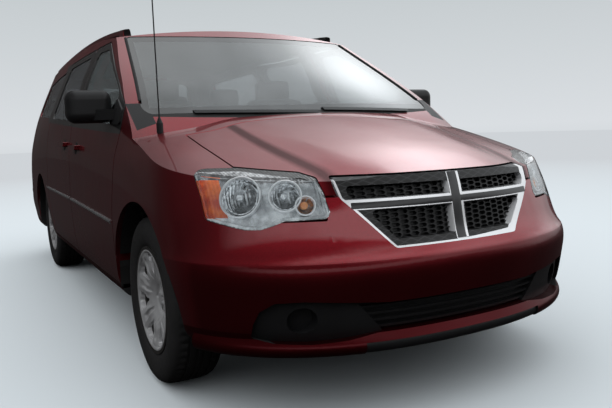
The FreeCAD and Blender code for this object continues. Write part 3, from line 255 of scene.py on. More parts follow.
def feed(shader, socket, wire):
    shader.id_data.links.new(wire.socket, shader.inputs[socket])


def dress(material, *names):
    for name in names:
        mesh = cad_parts[name].data
        mesh.materials.clear()
        mesh.materials.append(material)


def noise(place, scale, detail=2.0):
    return place.node("ShaderNodeTexNoise", None, {"Vector": place, "Scale": scale, "Detail": detail})


def blend(factor, first, second):
    """A colour that goes from the first to the second as the factor goes from 0 to 1."""
    return factor.node("ShaderNodeMix", {"data_type": "RGBA"}, {0: factor, 6: first, 7: second}, 2)


def bump(place, relief, strength, depth):
    return place.node("ShaderNodeBump", None, {"Height": relief, "Strength": strength, "Distance": depth})


def red_paint(name, window_shares=None, scuttle=False, shoulder_shade=False):
    """Red lacquer, with trim on the faces that look inwards.

    window_shares: between these stations it is black above the belt line. scuttle: black plastic
    behind the bonnet's rear edge. shoulders: painted shade along the bonnet's two creases, in place of
    the painted shade below the sill and under the nose's crease. Painted shade also darkens the flanks.
    """
    paint, shader, on_paint = finish(name, Coat_Roughness=0.02, Coat_IOR=1.6)
    x, y, z = on_paint.split()
    face_x, _, face_z = on_paint.node("ShaderNodeTexCoord", output="Normal").split()
    ceiling = (face_z < -0.4) * (z > ceiling_height)
    inward = on_paint.maths("MAXIMUM", (x * face_x) < -0.05, ceiling)
    from_axle = abs(abs(y - (front_axle + rear_axle) / 2) - wheelbase / 2)
    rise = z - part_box("tyre_front_left")[1][2] / 2
    near_hub = (from_axle * from_axle + rise * rise) < arch_reach ** 2
    in_arch = near_hub * (abs(x) < arch_edge)
    bare = on_paint.maths("MAXIMUM", inward, in_arch)
    dark = bare
    if window_shares:
        along = (y > station(window_shares[0])) * (y < station(window_shares[1]))
        over_belt = (z > belt_height + belt_slope * (y - front_axle)) * (z < window_top)
        dark = on_paint.maths("MAXIMUM", bare, along * over_belt)
    if scuttle:
        screen_edge = (y - scuttle_bow * x * x) > scuttle_edge
        bare = on_paint.maths("MAXIMUM", bare, screen_edge)
        dark = on_paint.maths("MAXIMUM", dark, screen_edge)
    # Painted shade: the red darkens, with less lacquer, below the sill and under the crease at the nose.
    shade_under_crease = (crease_height - z).ramp(0.0, crease_fade) * (corner_start - y).ramp(0.0, corner_fade)
    low = on_paint.maths("MAXIMUM", z < sill_height, shade_under_crease * 0.8)
    # Painted shade along the bonnet's two creases: darker red with less lacquer, in place of the low shade.
    if shoulder_shade:
        forward = (bonnet_rear - y).ramp(0.0, bonnet_run)
        from_crease = abs(abs(x) - (shoulder_middle - forward * forward * shoulder_bow))
        low = (1 - from_crease.ramp(shoulder_core, forward * shoulder_spread + shoulder_half)) * 0.95
    flakes = on_paint.node("ShaderNodeTexVoronoi", None, {"Vector": on_paint, "Scale": 900.0}, "Color")
    flake_light = flakes.node("ShaderNodeSeparateColor", None, {0: flakes})
    red = blend(flake_light, (0.34, 0.012, 0.022, 1), (0.21, 0.008, 0.014, 1))
    # Painted shade: the red darkens towards the body's flanks.
    flank = abs(x).ramp(flank_shade_start, flank_shade_end) * 0.55
    red = blend(on_paint.maths("MAXIMUM", low, flank), red, (0.07, 0.003, 0.005, 1))
    in_cabin = (y > cabin_front) * (z > cabin_floor) * inward * (1 - in_arch)
    trim = blend(in_cabin, (0.008, 0.008, 0.008, 1), (0.23, 0.22, 0.205, 1))
    feed(shader, "Base Color", blend(dark, red, trim))
    feed(shader, "Metallic", (1 - dark) * 0.93)
    feed(shader, "Coat Weight", (1 - bare) * (1 - low * 0.9))
    feed(shader, "Roughness", noise(on_paint, 6.0, 4.0).ramp(0.2, 0.8) * 0.08 + bare * 0.25 + 0.32)
    feed(shader, "Normal", bump(on_paint, flake_light, 0.03, 0.0002))
    return paint


dress(red_paint("red_paint"), "front_bumper", "rear_bumper", "fenders", "roof_panel", "tailgate")
dress(red_paint("bonnet_paint", shoulder_shade=True), "bonnet")
dress(red_paint("cowl_paint", scuttle=True), "cowl")
dress(red_paint("door_paint", (-1.0, 2.0)), "front_door_left", "front_door_right", "sliding_doors")
dress(red_paint("side_paint", (0.775, 0.865)), "side_frame_left", "side_frame_right")

# Black moulded plastic
# Grained polypropylene: the mirrors, wipers, air intake and steering wheel. The bulkhead, the floor
# and the radiator are as dark, and hardly show.
black_plastic, plastic_shader, on_plastic = finish("black_plastic", Specular_IOR_Level=0.4)
grain = noise(on_plastic, 420.0, 3.0)
plastic_tone = blend(noise(on_plastic, 9.0), (0.005, 0.005, 0.005, 1), (0.010, 0.010, 0.011, 1))
feed(plastic_shader, "Base Color", plastic_tone)
feed(plastic_shader, "Roughness", grain * 0.2 + 0.32)
feed(plastic_shader, "Normal", bump(on_plastic, grain, 0.2, 0.0005))
dress(black_plastic, "lower_grille", "grille_mesh", "mirror_left", "mirror_right", "antenna",
      "firewall", "floor_pan", "steering_wheel", "radiator", "wipers")

# Chassis
# The axle, subframe, tank and exhaust, bolted under the floor, and the plain engine block are
# black-painted steel with a film of road dust.


def mottled(name, patches, first, second, grains, least_rough, more_rough, **constants):
    """A material whose colour drifts in patches and whose roughness varies in grains, given as scales."""
    material, shader, place = finish(name, **constants)
    feed(shader, "Base Color", blend(noise(place, patches), first, second))
    feed(shader, "Roughness", noise(place, grains) * more_rough + least_rough)
    return material, shader, place


steel = mottled("chassis_steel", 20.0, (0.025, 0.025, 0.025, 1), (0.06, 0.055, 0.05, 1),
                60.0, 0.5, 0.2, Metallic=0.7)[0]
dress(steel, "knuckle_left", "knuckle_right", "subframe", "rear_axle", "exhaust", "fuel_tank", "engine")

# Glass
# The windscreen is laminated, and bonded in behind a dark ceramic band round its edge.
# It and the front windows are clear with a green cast, and the other panes are smoked.
clear_glass, glass_shader, on_glass = finish("clear_glass", Roughness=0.0, IOR=2.4, Transmission_Weight=1.0)
glass_x, glass_y, glass_z = on_glass.split()
screen_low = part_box("windscreen")[0][2]
screen_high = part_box("windscreen")[1][2]
screen_foot = across(0.842)
screen_lean = (screen_foot - across(0.706)) / (height(0.936) - height(0.668))
side_band = 0.035
head_band = 0.040
foot_band = 0.030
band_slack = 0.01
screen_rear = station(0.36)
edge_x = screen_foot - (glass_z - screen_low) * screen_lean
by_end = glass_z.maths("MAXIMUM", glass_z > screen_high - head_band, glass_z < screen_low + foot_band)
band = glass_z.maths("MAXIMUM", abs(glass_x) > edge_x - side_band, by_end)
on_screen = (glass_y < screen_rear) * (abs(glass_x) < edge_x + band_slack)
tint = blend(noise(on_glass, 3.0), (0.36, 0.40, 0.40, 1), (0.40, 0.44, 0.44, 1))
feed(glass_shader, "Base Color", blend(band * on_screen, tint, (0.02, 0.02, 0.02, 1)))
grey_glass, grey_shader, on_grey = finish("grey_glass", Roughness=0.0, IOR=1.5, Transmission_Weight=1.0)
feed(grey_shader, "Base Color", blend(noise(on_grey, 3.0), (0.30, 0.31, 0.32, 1), (0.34, 0.35, 0.36, 1)))
lens_glass, clear_shader, on_lens = finish("lamp_lens", Roughness=0.0, IOR=1.45, Transmission_Weight=1.0)
feed(clear_shader, "Base Color", blend(noise(on_lens, 3.0), (0.97, 0.98, 0.98, 1), (0.95, 0.96, 0.97, 1)))
dress(clear_glass, "windscreen", "door_glass_left", "door_glass_right")
dress(grey_glass, "side_glass", "tailgate_glass")
dress(lens_glass, "headlamps")

# Tyres
# Each radial road tyre is moulded rubber: a rounded sidewall with a rim guard and
# a tread cut by four grooves and many cross slots. It turns with its wheel.
rubber, rubber_shader, on_rubber = mottled("tyre_rubber", 12.0, (0.010, 0.010, 0.010, 1),
                                           (0.020, 0.019, 0.019, 1), 40.0, 0.58, 0.2,
                                           Specular_IOR_Level=0.3)
feed(rubber_shader, "Normal", bump(on_rubber, noise(on_rubber, 500.0), 0.15, 0.0005))
tyre_radius = 0.362
groove_depth = 0.0075
slot_depth_share = 0.7
slot_pitch = 3
tyre_side = [(0.088, 0.226), (0.098, 0.236), (0.104, 0.246), (0.1085, 0.262), (0.1120, 0.285),
             (0.1125, 0.300), (0.1105, 0.318), (0.1060, 0.334), (0.0990, 0.3445), (0.0900, 0.3520),
             (0.0810, 0.3560)]
tread_line = [(0.0720, 0.3585), (0.0540, 0.3603), (0.0525, 0.3530), (0.0425, 0.3533), (0.0410, 0.3612),
              (0.0200, 0.3619), (0.0185, 0.3544), (0.0075, 0.3545), (0.0060, 0.3620)]
tyre_turns = 180


def lathe(name, section, turns, shift):
    """A ring mesh turned about X. shift moves a section point by its index and turn."""
    rings = len(section)
    points = []
    for turn in range(turns):
        angle = 2 * math.pi * turn / turns
        for index, (x, radius) in enumerate(section):
            radius = radius + shift(index, turn)
            points.append((x, radius * math.cos(angle), radius * math.sin(angle)))
    faces = []
    for turn in range(turns):
        here = turn * rings
        after = (turn + 1) % turns * rings
        for index in range(rings - 1):
            faces.append((here + index, here + index + 1, after + index + 1, after + index))
    mesh = bpy.data.meshes.new(name)
    mesh.from_pydata(points, [], faces)
    return mesh


def soften(mesh, degrees):
    """Smooth faces, with edges sharper than the given angle kept crisp."""
    mesh.shade_smooth()
    mesh.set_sharp_from_angle(angle=math.radians(degrees))


def add(name, mesh, material, body="vehicle_body"):
    """A piece of the scene that moves with a body of the part."""
    piece = bpy.data.objects.new(name, mesh)
    bpy.context.scene.collection.objects.link(piece)
    mesh.materials.append(material)
    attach(piece, body)
    return piece


tyre_section = tyre_side + tread_line
tyre_section = tyre_section + [(-x, radius) for x, radius in tyre_section[::-1]]
shoulder_rings = [len(tyre_side) - 1, len(tyre_side), len(tyre_side) + 1]
slot_rings = shoulder_rings + [len(tyre_section) - 1 - ring for ring in shoulder_rings]


def tread_slot(index, turn):
    cut = index in slot_rings and turn % slot_pitch == 0
    return -groove_depth * slot_depth_share if cut else 0.0


# Wheel covers
# Silver-painted moulded covers with seven broad spokes, deep slots between them near the rim,
# a sunk hub and five nut holes. They clip over black steel wheels.
silver, silver_shader, on_silver = finish("silver_cover")
spoke_count = 7
nut_count = 5
nut_circle = 0.052
cover_radius = 0.2235
cover_rings = 56
cover_turns = 336
hub_out = 0.054
spoke_out = 0.036
rim_out = 0.008
rim_roll = 0.004
slot_share = 0.42
slot_edge = 0.05
narrowest_slot = 0.03
slot_sink = 0.040
groove_sink = 0.007
ridge_sink = 0.006
hub_rise = 0.006
hub_ring_sink = 0.006
nut_sink = 0.014
dish_zone = (0.045, 0.135)
rim_zone = (0.150, 0.205)
edge_zone = (0.203, 0.210)
roll_zone = (0.216, cover_radius)
slot_start_zone = (0.098, 0.185)
slot_end_zone = (0.192, 0.203)
groove_start_zone = (0.080, 0.105)
groove_end_zone = (0.170, 0.190)
ridge_start_zone = (0.090, 0.120)
groove_flank_zone = (0.10, 0.24)
ridge_flank_zone = (0.25, 0.62)
hub_zone = (0.026, 0.034)
hub_ring_start_zone = (0.034, 0.040)
hub_ring_end_zone = (0.058, 0.066)
nut_zone = (0.0080, 0.0105)


def smooth_step(zone, value):
    """A soft step from 0 to 1 as the value crosses a zone."""
    low, high = zone
    share = min(max((value - low) / (high - low), 0.0), 1.0)
    return share * share * (3 - 2 * share)


def cover_height(radius, angle):
    """How far the cover stands out along the axle, and how deep in a slot the point lies."""
    spoke = abs(((angle - math.pi / 2) * spoke_count / (2 * math.pi)) % 1.0 - 0.5) * 2
    dish = hub_out + spoke_out * smooth_step(dish_zone, radius) + rim_out * smooth_step(rim_zone, radius)
    rim_edge = smooth_step(edge_zone, radius)
    slot_half = slot_share * smooth_step(slot_start_zone, radius) * (1 - smooth_step(slot_end_zone, radius))
    slot_zone = (1 - slot_edge - slot_half, 1 + slot_edge - slot_half)
    slot = smooth_step(slot_zone, spoke) if slot_half > narrowest_slot else 0.0
    groove = smooth_step(groove_start_zone, radius) * (1 - smooth_step(groove_end_zone, radius))
    groove *= 1 - smooth_step(groove_flank_zone, spoke)
    ridge = smooth_step(ridge_flank_zone, spoke) * (1 - slot)
    ridge *= smooth_step(ridge_start_zone, radius) * (1 - rim_edge)
    hub = 1 - smooth_step(hub_zone, radius)
    hub_ring = smooth_step(hub_ring_start_zone, radius) * (1 - smooth_step(hub_ring_end_zone, radius))
    nut = (angle * nut_count / (2 * math.pi)) % 1.0 - 0.5
    nut_gap = math.hypot(nut * 2 * math.pi / nut_count * radius, radius - nut_circle)
    nut_hole = 1 - smooth_step(nut_zone, nut_gap)
    out = dish - groove * groove_sink - ridge * ridge_sink - slot * slot_sink
    out += hub * hub_rise - hub_ring * hub_ring_sink - nut_hole * nut_sink
    out += rim_edge * rim_roll * (1 - smooth_step(roll_zone, radius))
    return out, max(slot, nut_hole)


def wheel_cover_mesh(name):
    points = [(cover_height(0.0, 0.0)[0], 0.0, 0.0)]
    depth = [0.0]
    for ring in range(1, cover_rings + 1):
        radius = cover_radius * ring / cover_rings
        for turn in range(cover_turns):
            angle = 2 * math.pi * turn / cover_turns
            out, dark = cover_height(radius, angle)
            points.append((out, radius * math.cos(angle), radius * math.sin(angle)))
            depth.append(dark)
    faces = [(0, 1 + turn, 1 + (turn + 1) % cover_turns) for turn in range(cover_turns)]
    for ring in range(cover_rings - 1):
        here = 1 + ring * cover_turns
        after = here + cover_turns
        for turn in range(cover_turns):
            following = (turn + 1) % cover_turns
            faces.append((here + turn, after + turn, after + following, here + following))
    mesh = bpy.data.meshes.new(name)
    mesh.from_pydata(points, [], faces)
    shade = mesh.attributes.new("slot_depth", "FLOAT", "POINT")
    shade.data.foreach_set("value", depth)
    soften(mesh, 50)
    return mesh


slot_depth = on_silver.node("ShaderNodeAttribute", {"attribute_name": "slot_depth"}, output="Fac")
# The floors of the slots and nut holes are near black: the black steel wheel behind them, darker still as
# painted shade.
in_slot = slot_depth.ramp(0.55, 0.85)
silver_tone = blend(noise(on_silver, 20.0), (0.50, 0.50, 0.505, 1), (0.58, 0.58, 0.585, 1))
feed(silver_shader, "Base Color", blend(in_slot, silver_tone, (0.006, 0.006, 0.006, 1)))
feed(silver_shader, "Metallic", (1 - in_slot) * 0.6)
feed(silver_shader, "Roughness", in_slot * 0.4 + noise(on_silver, 60.0) * 0.1 + 0.26)
front_half_track = 0.8325
rear_half_track = 0.8225
wheel_places = {"front_left": (front_half_track, front_axle), "front_right": (-front_half_track, front_axle),
                "rear_left": (rear_half_track, rear_axle), "rear_right": (-rear_half_track, rear_axle)}
for corner, (hub_x, hub_y) in wheel_places.items():
    facing = Matrix.Rotation(0 if hub_x > 0 else math.pi, 4, "Z")
    stand = Matrix.Translation((hub_x, hub_y, tyre_radius)) @ facing
    tyre_mesh = lathe("tyre_tread_" + corner, tyre_section, tyre_turns, tread_slot)
    soften(tyre_mesh, 38)
    tyre_mesh.transform(stand)
    tyre = add("tyre_tread_" + corner, tyre_mesh, rubber, "wheel_" + corner)
    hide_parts("tyre_" + corner)
    cover_mesh = wheel_cover_mesh("wheel_cover_" + corner)
    cover_mesh.transform(stand)
    add("wheel_cover_" + corner, cover_mesh, silver, "wheel_" + corner)
    dress(steel, "wheel_" + corner)

# Headlamps
# A silvered housing behind each clear lens, an amber reflector at its outer end, two ringed
# reflectors with their bulbs and a small amber marker bulb. It is clipped in from behind.
lamp_silver, silvered, on_silvered = finish("lamp_silver", Coat_Weight=0.5)
lamp_x, _, lamp_z = on_silvered.split()
seal_width = 0.009
lens_top = height(0.534)
lens_top_fall = height(0.024)
fall_start = across(0.711)
fall_run = across(0.206)
amber_edge = across(0.788)
amber_low = height(0.436)
amber_high = height(0.512)
in_amber = (abs(lamp_x) > amber_edge) * (lamp_z > amber_low) * (lamp_z < amber_high)
top_drop = (fall_start - abs(lamp_x)).ramp(0.0, fall_run) * lens_top_fall
in_seal = (lamp_z - lens_top + top_drop) > -seal_width
silver_patches = noise(on_silvered, 24.0, 3.0).ramp(0.35, 0.65)
housing_tone = blend(silver_patches, (0.30, 0.31, 0.32, 1), (0.75, 0.77, 0.78, 1))
amber_patches = noise(on_silvered, 30.0).ramp(0.35, 0.65)
amber_tone = blend(amber_patches, (0.60, 0.045, 0.004, 1), (0.90, 0.18, 0.02, 1))
lamp_tone = blend(in_amber, housing_tone, amber_tone)
feed(silvered, "Base Color", blend(in_seal, lamp_tone, (0.006, 0.006, 0.006, 1)))
feed(silvered, "Metallic", (1 - in_amber) * (1 - in_seal) * 0.8)
feed(silvered, "Roughness", in_amber * 0.2 + 0.16)
facets = on_silvered.node("ShaderNodeTexVoronoi", None, {"Vector": on_silvered, "Scale": 55.0})


def flutes(place, scale, direction="X"):
    return place.node("ShaderNodeTexWave", {"bands_direction": direction}, {"Vector": place, "Scale": scale})


feed(silvered, "Normal", bump(on_silvered, facets + flutes(on_silvered, 30.0) * 0.5, 0.5, 0.004))
dress(lamp_silver, "lamp_housings")
# Chrome is near-white and mostly diffuse under a thin metal sheen: its brightness is painted reflection of
# bright sky as well as real reflection.
chrome = mottled("chrome", 30.0, (0.88, 0.89, 0.91, 1), (0.95, 0.96, 0.97, 1),
                 60.0, 0.15, 0.1, Metallic=0.35, Coat_Weight=1.0)[0]
mirrored, mirrored_shader, on_mirrored = finish("lamp_reflector", Metallic=1.0)
mirror_patches = noise(on_mirrored, 80.0).ramp(0.35, 0.65)
feed(mirrored_shader, "Base Color", blend(mirror_patches, (0.50, 0.51, 0.52, 1), (0.95, 0.96, 0.97, 1)))
feed(mirrored_shader, "Roughness", noise(on_mirrored, 60.0) * 0.08 + 0.06)
feed(mirrored_shader, "Normal", bump(on_mirrored, flutes(on_mirrored, 26.0), 0.6, 0.003))
amber = mottled("amber_glass", 60.0, (0.85, 0.20, 0.03, 1), (0.95, 0.42, 0.12, 1),
                90.0, 0.1, 0.1, Coat_Weight=1.0)[0]


def surface_of(*names):
    """A tree of the faces of some CAD nodes, to seat pieces on."""
    points = []
    faces = []
    for name in names:
        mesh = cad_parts[name].data
        start = len(points)
        points += [vertex.co.copy() for vertex in mesh.vertices]
        faces += [[start + index for index in face.vertices] for face in mesh.polygons]
    return BVHTree.FromPolygons(points, faces)


def turned_piece(name, section, turns, place, axis, material, body="vehicle_body"):
    """A ring or dome: section points are distance along the axis and radius."""
    mesh = lathe(name, section, turns, lambda index, turn: 0.0)
    soften(mesh, 40)
    spin = Vector((1, 0, 0)).rotation_difference(axis).to_matrix().to_4x4()
    mesh.transform(Matrix.Translation(place) @ spin)
    return add(name, mesh, material, body)


lens_front = surface_of("headlamps")
back_ray = Vector((0, 1, 0))
nose_turn = Vector((0, -0.6, 0))
shield_sink = 0.004
reflectors = {"dipped": (0.755, 0.4811, 0.0735), "main": (0.623, 0.4814, 0.0555),
              "marker": (0.568, 0.461, 0.033)}
marker_bulb = [(-0.010, 0.0001), (-0.0105, 0.006), (-0.014, 0.0125), (-0.022, 0.0155), (-0.040, 0.0145),
               (-0.060, 0.011)]
bulb_shield = [(-0.022, 0.0001), (-0.0225, 0.006), (-0.026, 0.011), (-0.034, 0.0135), (-0.060, 0.0135),
               (-0.095, 0.010)]
for side_name, side in (("left", 1), ("right", -1)):
    for lamp, (x_share, z_share, radius) in reflectors.items():
        before = Vector((side * across(x_share), station(-0.33), height(z_share)))
        place, normal = lens_front.ray_cast(before, back_ray)[:2]
        forward = (normal + nose_turn).normalized()
        name = lamp + "_" + side_name
        ring = [(-0.016, radius - 0.0035), (-0.0085, radius - 0.001), (-0.0075, radius + 0.0015),
                (-0.0085, radius + 0.004), (-0.024, radius + 0.0045)]
        turned_piece("lamp_ring_" + name, ring, 96, place, normal, chrome)
        bowl = [(-0.046, radius - 0.020), (-0.034, radius - 0.012), (-0.0165, radius - 0.004),
                (-0.016, radius - 0.001), (-0.040, radius - 0.001)]
        turned_piece("lamp_bowl_" + name, bowl, 96, place, normal, mirrored)
        if lamp == "marker":
            turned_piece("marker_bulb_" + side_name, marker_bulb, 40, place, forward, amber)
            continue
        inner = [(-0.050, radius * 0.62), (-0.030, radius * 0.76), (-0.026, radius * 0.80),
                 (-0.027, radius * 0.84), (-0.040, radius * 0.86)]
        turned_piece("inner_ring_" + name, inner, 80, place, normal, mirrored)
        turned_piece("bulb_shield_" + name, bulb_shield, 40, place - normal * shield_sink, forward, mirrored)

# Grille
# A chromed moulding, black where the lattice crosses it, frames four windows, and black inlays run
# along its cross. Behind it stands a black lattice of long six-sided cells.
bar_black = mottled("bar_black", 30.0, (0.010, 0.010, 0.011, 1), (0.016, 0.016, 0.017, 1),
                    300.0, 0.3, 0.1, Coat_Weight=0.4)[0]
frame_finish, frame_shader, on_frame = finish("grille_frame_finish")
frame_x, _, frame_z = on_frame.split()
cross_height = height(0.456)
outline_shares = [(0.286, 0.367), (0.452, 0.470), (0.466, 0.512)]
near_rim = 0.007
far_rim = 0.037
foot_rim = 0.006
foot_rim_gain = 0.014
foot_rim_run = 0.3
strip_reach = across(0.44)
strip_half = 0.018
strip_lift = 0.001
post_half = 0.022
lattice_across = 36.0
lattice_up = 90.0
foot_inset = frame_z - height(0.367)
plated = foot_inset < frame_x.ramp(0.0, foot_rim_run) * foot_rim_gain + foot_rim
rim_reach = (frame_x > 0.0) * (far_rim - near_rim) + near_rim
for (low_x, low_z), (high_x, high_z) in zip(outline_shares, outline_shares[1:]):
    run_x = across(high_x - low_x)
    run_z = height(high_z - low_z)
    length = math.hypot(run_x, run_z)
    inset = (across(low_x) - abs(frame_x)) * (run_z / length) + (frame_z - height(low_z)) * (run_x / length)
    plated = plated.maths("MAXIMUM", plated, inset < rim_reach)
strip = (abs(frame_z - cross_height - strip_lift) < strip_half) * (abs(frame_x) < strip_reach)
plated = plated.maths("MAXIMUM", plated, plated.maths("MAXIMUM", strip, abs(frame_x) < post_half))
# The lattice is painted on the frame's border: dark ribs, and darker cells as painted shade in its openings.
rising = frame_x.maths("PINGPONG", frame_x * lattice_across + frame_z * lattice_up, 1.0)
falling = frame_x.maths("PINGPONG", frame_x * lattice_across - frame_z * lattice_up, 1.0)
cell_rib = rising.maths("MINIMUM", rising, falling) < 0.15
lattice_with_cell_shade = blend(cell_rib, (0.004, 0.004, 0.004, 1), (0.030, 0.030, 0.032, 1))
# The chromed parts are near-white and mostly diffuse: their brightness is painted reflection as well as
# real.
feed(frame_shader, "Base Color", blend(plated, lattice_with_cell_shade, (0.93, 0.94, 0.96, 1)))
feed(frame_shader, "Metallic", plated * 0.35)
feed(frame_shader, "Coat Weight", plated)
feed(frame_shader, "Roughness", noise(on_frame, 60.0) * 0.1 + 0.35 - plated * 0.2)
dress(frame_finish, "grille_frame")
glue_depth = 0.0015


def ribbon(name, path, section):
    """A mesh along a path of places with normals. Section points are aside and lift, in order round it."""
    points = []
    for index, (place, normal) in enumerate(path):
        ahead = path[min(index + 1, len(path) - 1)][0] - path[max(index - 1, 0)][0]
        aside = ahead.cross(normal).normalized()
        points += [place + aside * across_band + normal * lift for across_band, lift in section]
    count = len(section)
    faces = []
    for ring in range(len(path) - 1):
        for index in range(count):
            following = (index + 1) % count
            faces.append((ring * count + index, ring * count + following,
                          (ring + 1) * count + following, (ring + 1) * count + index))
    faces.append(list(range(count))[::-1])
    faces.append([(len(path) - 1) * count + index for index in range(count)])
    mesh = bpy.data.meshes.new(name)
    mesh.from_pydata(points, [], faces)
    soften(mesh, 40)
    return mesh


def low_band(half, rise):
    """The section of a strip that is glued down: wider at its foot than at its crown."""
    flank = [(half * 0.7, rise), (half, rise * 0.5), (half, -glue_depth)]
    return [(-aside, lift) for aside, lift in flank[::-1]] + flank


def cast_path(tree, starts, direction):
    """Where rays from the starts meet a surface, with its normals turned against the rays."""
    path = []
    for start in starts:
        place, normal = tree.ray_cast(start, direction)[:2]
        if place is not None:
            path.append((place, normal if normal.dot(direction) < 0 else -normal))
    return path


frame_front = surface_of("grille_frame")
start_y = station(-0.40)
inlay_drop = 0.0025
cross_steps = 24
post_steps = 16
post_foot = height(0.372)
post_run = height(0.511) - post_foot
starts = [Vector((strip_reach * step / cross_steps, start_y, cross_height - inlay_drop))
          for step in range(-cross_steps, cross_steps + 1)]
across_path = cast_path(frame_front, starts, back_ray)
across_ribbon = ribbon("cross_inlay_wide", across_path, low_band(0.0115, 0.0012))
add("cross_inlay_wide", across_ribbon, bar_black)
starts = [Vector((0, start_y, post_foot + post_run * step / post_steps)) for step in range(post_steps + 1)]
up_path = cast_path(frame_front, starts, back_ray)
post_section = [(-0.028, -0.034), (-0.0275, -0.006), (-0.024, 0.0006), (0.032, 0.0006), (0.0385, -0.008),
                (0.040, -0.034)]
add("cross_post", ribbon("cross_post", up_path, post_section), chrome)
up_ribbon = ribbon("cross_inlay_tall", up_path, low_band(0.0205, 0.0026))
add("cross_inlay_tall", up_ribbon, bar_black)

cell_tip = 0.0225
cell_flat = 0.0140
cell_rise = 0.0090
lattice_stand = 0.016
panel_slack = 0.002
columns = 14
rows = 12
cell_corners = [(cell_tip, 0), (cell_flat, cell_rise), (-cell_flat, cell_rise), (-cell_tip, 0),
                (-cell_flat, -cell_rise), (cell_flat, -cell_rise)]
cell_rings = [(1.0, lattice_stand), (0.80, lattice_stand), (0.74, -0.001)]
sides = len(cell_corners)
grille_all = surface_of("grille_frame", "grille_mesh")
mesh_front = surface_of("grille_mesh")
lattice_points = []
lattice_faces = []
for column in range(-columns, columns + 1):
    for row in range(-rows, rows + 1):
        middle_x = column * (cell_tip + cell_flat)
        middle_z = cross_height + (2 * row + column % 2) * cell_rise
        before = Vector((middle_x, start_y, middle_z))
        place = grille_all.ray_cast(before, back_ray)[0]
        behind = mesh_front.ray_cast(before, back_ray)[0]
        if behind is None or place is None or (behind - place).length > panel_slack:
            continue
        start = len(lattice_points)
        for share, stand in cell_rings:
            for corner_x, corner_z in cell_corners:
                x = middle_x + corner_x * share
                z = middle_z + corner_z * share
                spot = mesh_front.ray_cast(Vector((x, start_y, z)), back_ray)[0]
                lattice_points.append((x, (spot or behind).y - stand, z))
        for ring in range(len(cell_rings) - 1):
            here = start + ring * sides
            after = here + sides
            for index in range(sides):
                following = (index + 1) % sides
                lattice_faces.append((here + index, after + index, after + following, here + following))
lattice_mesh = bpy.data.meshes.new("grille_lattice")
lattice_mesh.from_pydata(lattice_points, [], lattice_faces)
add("grille_lattice", lattice_mesh, black_plastic)

# Door and window trim
# Rubber seals run up the windscreen's sides, a bright strip crosses each side, and black cups sunk
# behind the body-coloured pull handles are painted shade in the handle recesses.
seal_rubber = mottled("seal_rubber", 30.0, (0.006, 0.006, 0.006, 1), (0.012, 0.012, 0.012, 1),
                      200.0, 0.5, 0.2, Specular_IOR_Level=0.3)[0]
bright_strip = mottled("bright_strip", 30.0, (0.55, 0.56, 0.57, 1), (0.65, 0.66, 0.67, 1),
                       60.0, 0.2, 0.1, Metallic=0.9)[0]
outside = 1.6


def side_path(tree, side, outline, steps):
    """A path on the body's side through stations and heights given as shares."""
    starts = []
    for (first_y, first_z), (next_y, next_z) in zip(outline, outline[1:]):
        for step in range(steps):
            share = step / steps
            starts.append(Vector((side * outside, station(first_y + (next_y - first_y) * share),
                                  height(first_z + (next_z - first_z) * share))))
    starts.append(Vector((side * outside, station(outline[-1][0]), height(outline[-1][1]))))
    return cast_path(tree, starts, Vector((-side, 0, 0)))


strip_shares = {"front_door": [(0.140, 0.3805), (0.299, 0.390), (0.446, 0.397), (0.490, 0.3985)],
                "sliding_door": [(0.503, 0.399), (0.674, 0.402), (0.826, 0.404)],
                "rear_quarter": [(0.846, 0.404), (0.862, 0.404)]}
strip_section = [(-0.0078, -0.0056), (-0.0078, 0.0004), (-0.0052, 0.0020), (0.0052, 0.0020),
                 (0.0078, 0.0004), (0.0078, -0.0056)]
handle_shares = {"front_door": (0.395, 0.462, 0.5815, 0.5835), "sliding_door": (0.520, 0.587, 0.592, 0.594)}
cup_section = [(0.0008, 0.0001), (0.0009, 0.030), (0.0006, 0.036), (-0.001, 0.038)]
cup_sink = 0.0295
for side_name, side in (("left", 1), ("right", -1)):
    carriers = {"front_door": "front_door_" + side_name, "sliding_door": "sliding_doors",
                "rear_quarter": "side_frame_" + side_name}
    for panel, carrier in carriers.items():
        skin = surface_of(carrier)
        body = carrier if panel == "front_door" else "vehicle_body"
        path = side_path(skin, side, strip_shares[panel], 10)
        name = panel + "_strip_" + side_name
        add(name, ribbon(name, path, strip_section), bright_strip, body)
        if panel in handle_shares:
            front, rear, front_level, rear_level = handle_shares[panel]
            path = side_path(skin, side, [(front, front_level), (rear, rear_level)], 24)
            place, normal = path[len(path) // 2]
            # A black cup sunk behind each handle stands for the shade in its recess: painted shade.
            turned_piece(panel + "_shade_cup_" + side_name, cup_section, 48, place - normal * cup_sink, normal,
                         black_plastic, body)

screen_front = surface_of("windscreen", "side_frame_left", "side_frame_right", "roof_panel", "cowl")
seal_steps = 40
seal_foot = Vector((across(0.846), station(-0.30), height(0.662)))
seal_head = Vector((across(0.710), station(-0.30), height(0.930)))
for side_name, side in (("left", 1), ("right", -1)):
    starts = []
    for step in range(seal_steps + 1):
        start = seal_foot.lerp(seal_head, step / seal_steps)
        starts.append(Vector((side * start.x, start.y, start.z)))
    path = cast_path(screen_front, starts, back_ray)
    name = "screen_seal_" + side_name
    add(name, ribbon(name, path, low_band(0.008, 0.004)), seal_rubber)

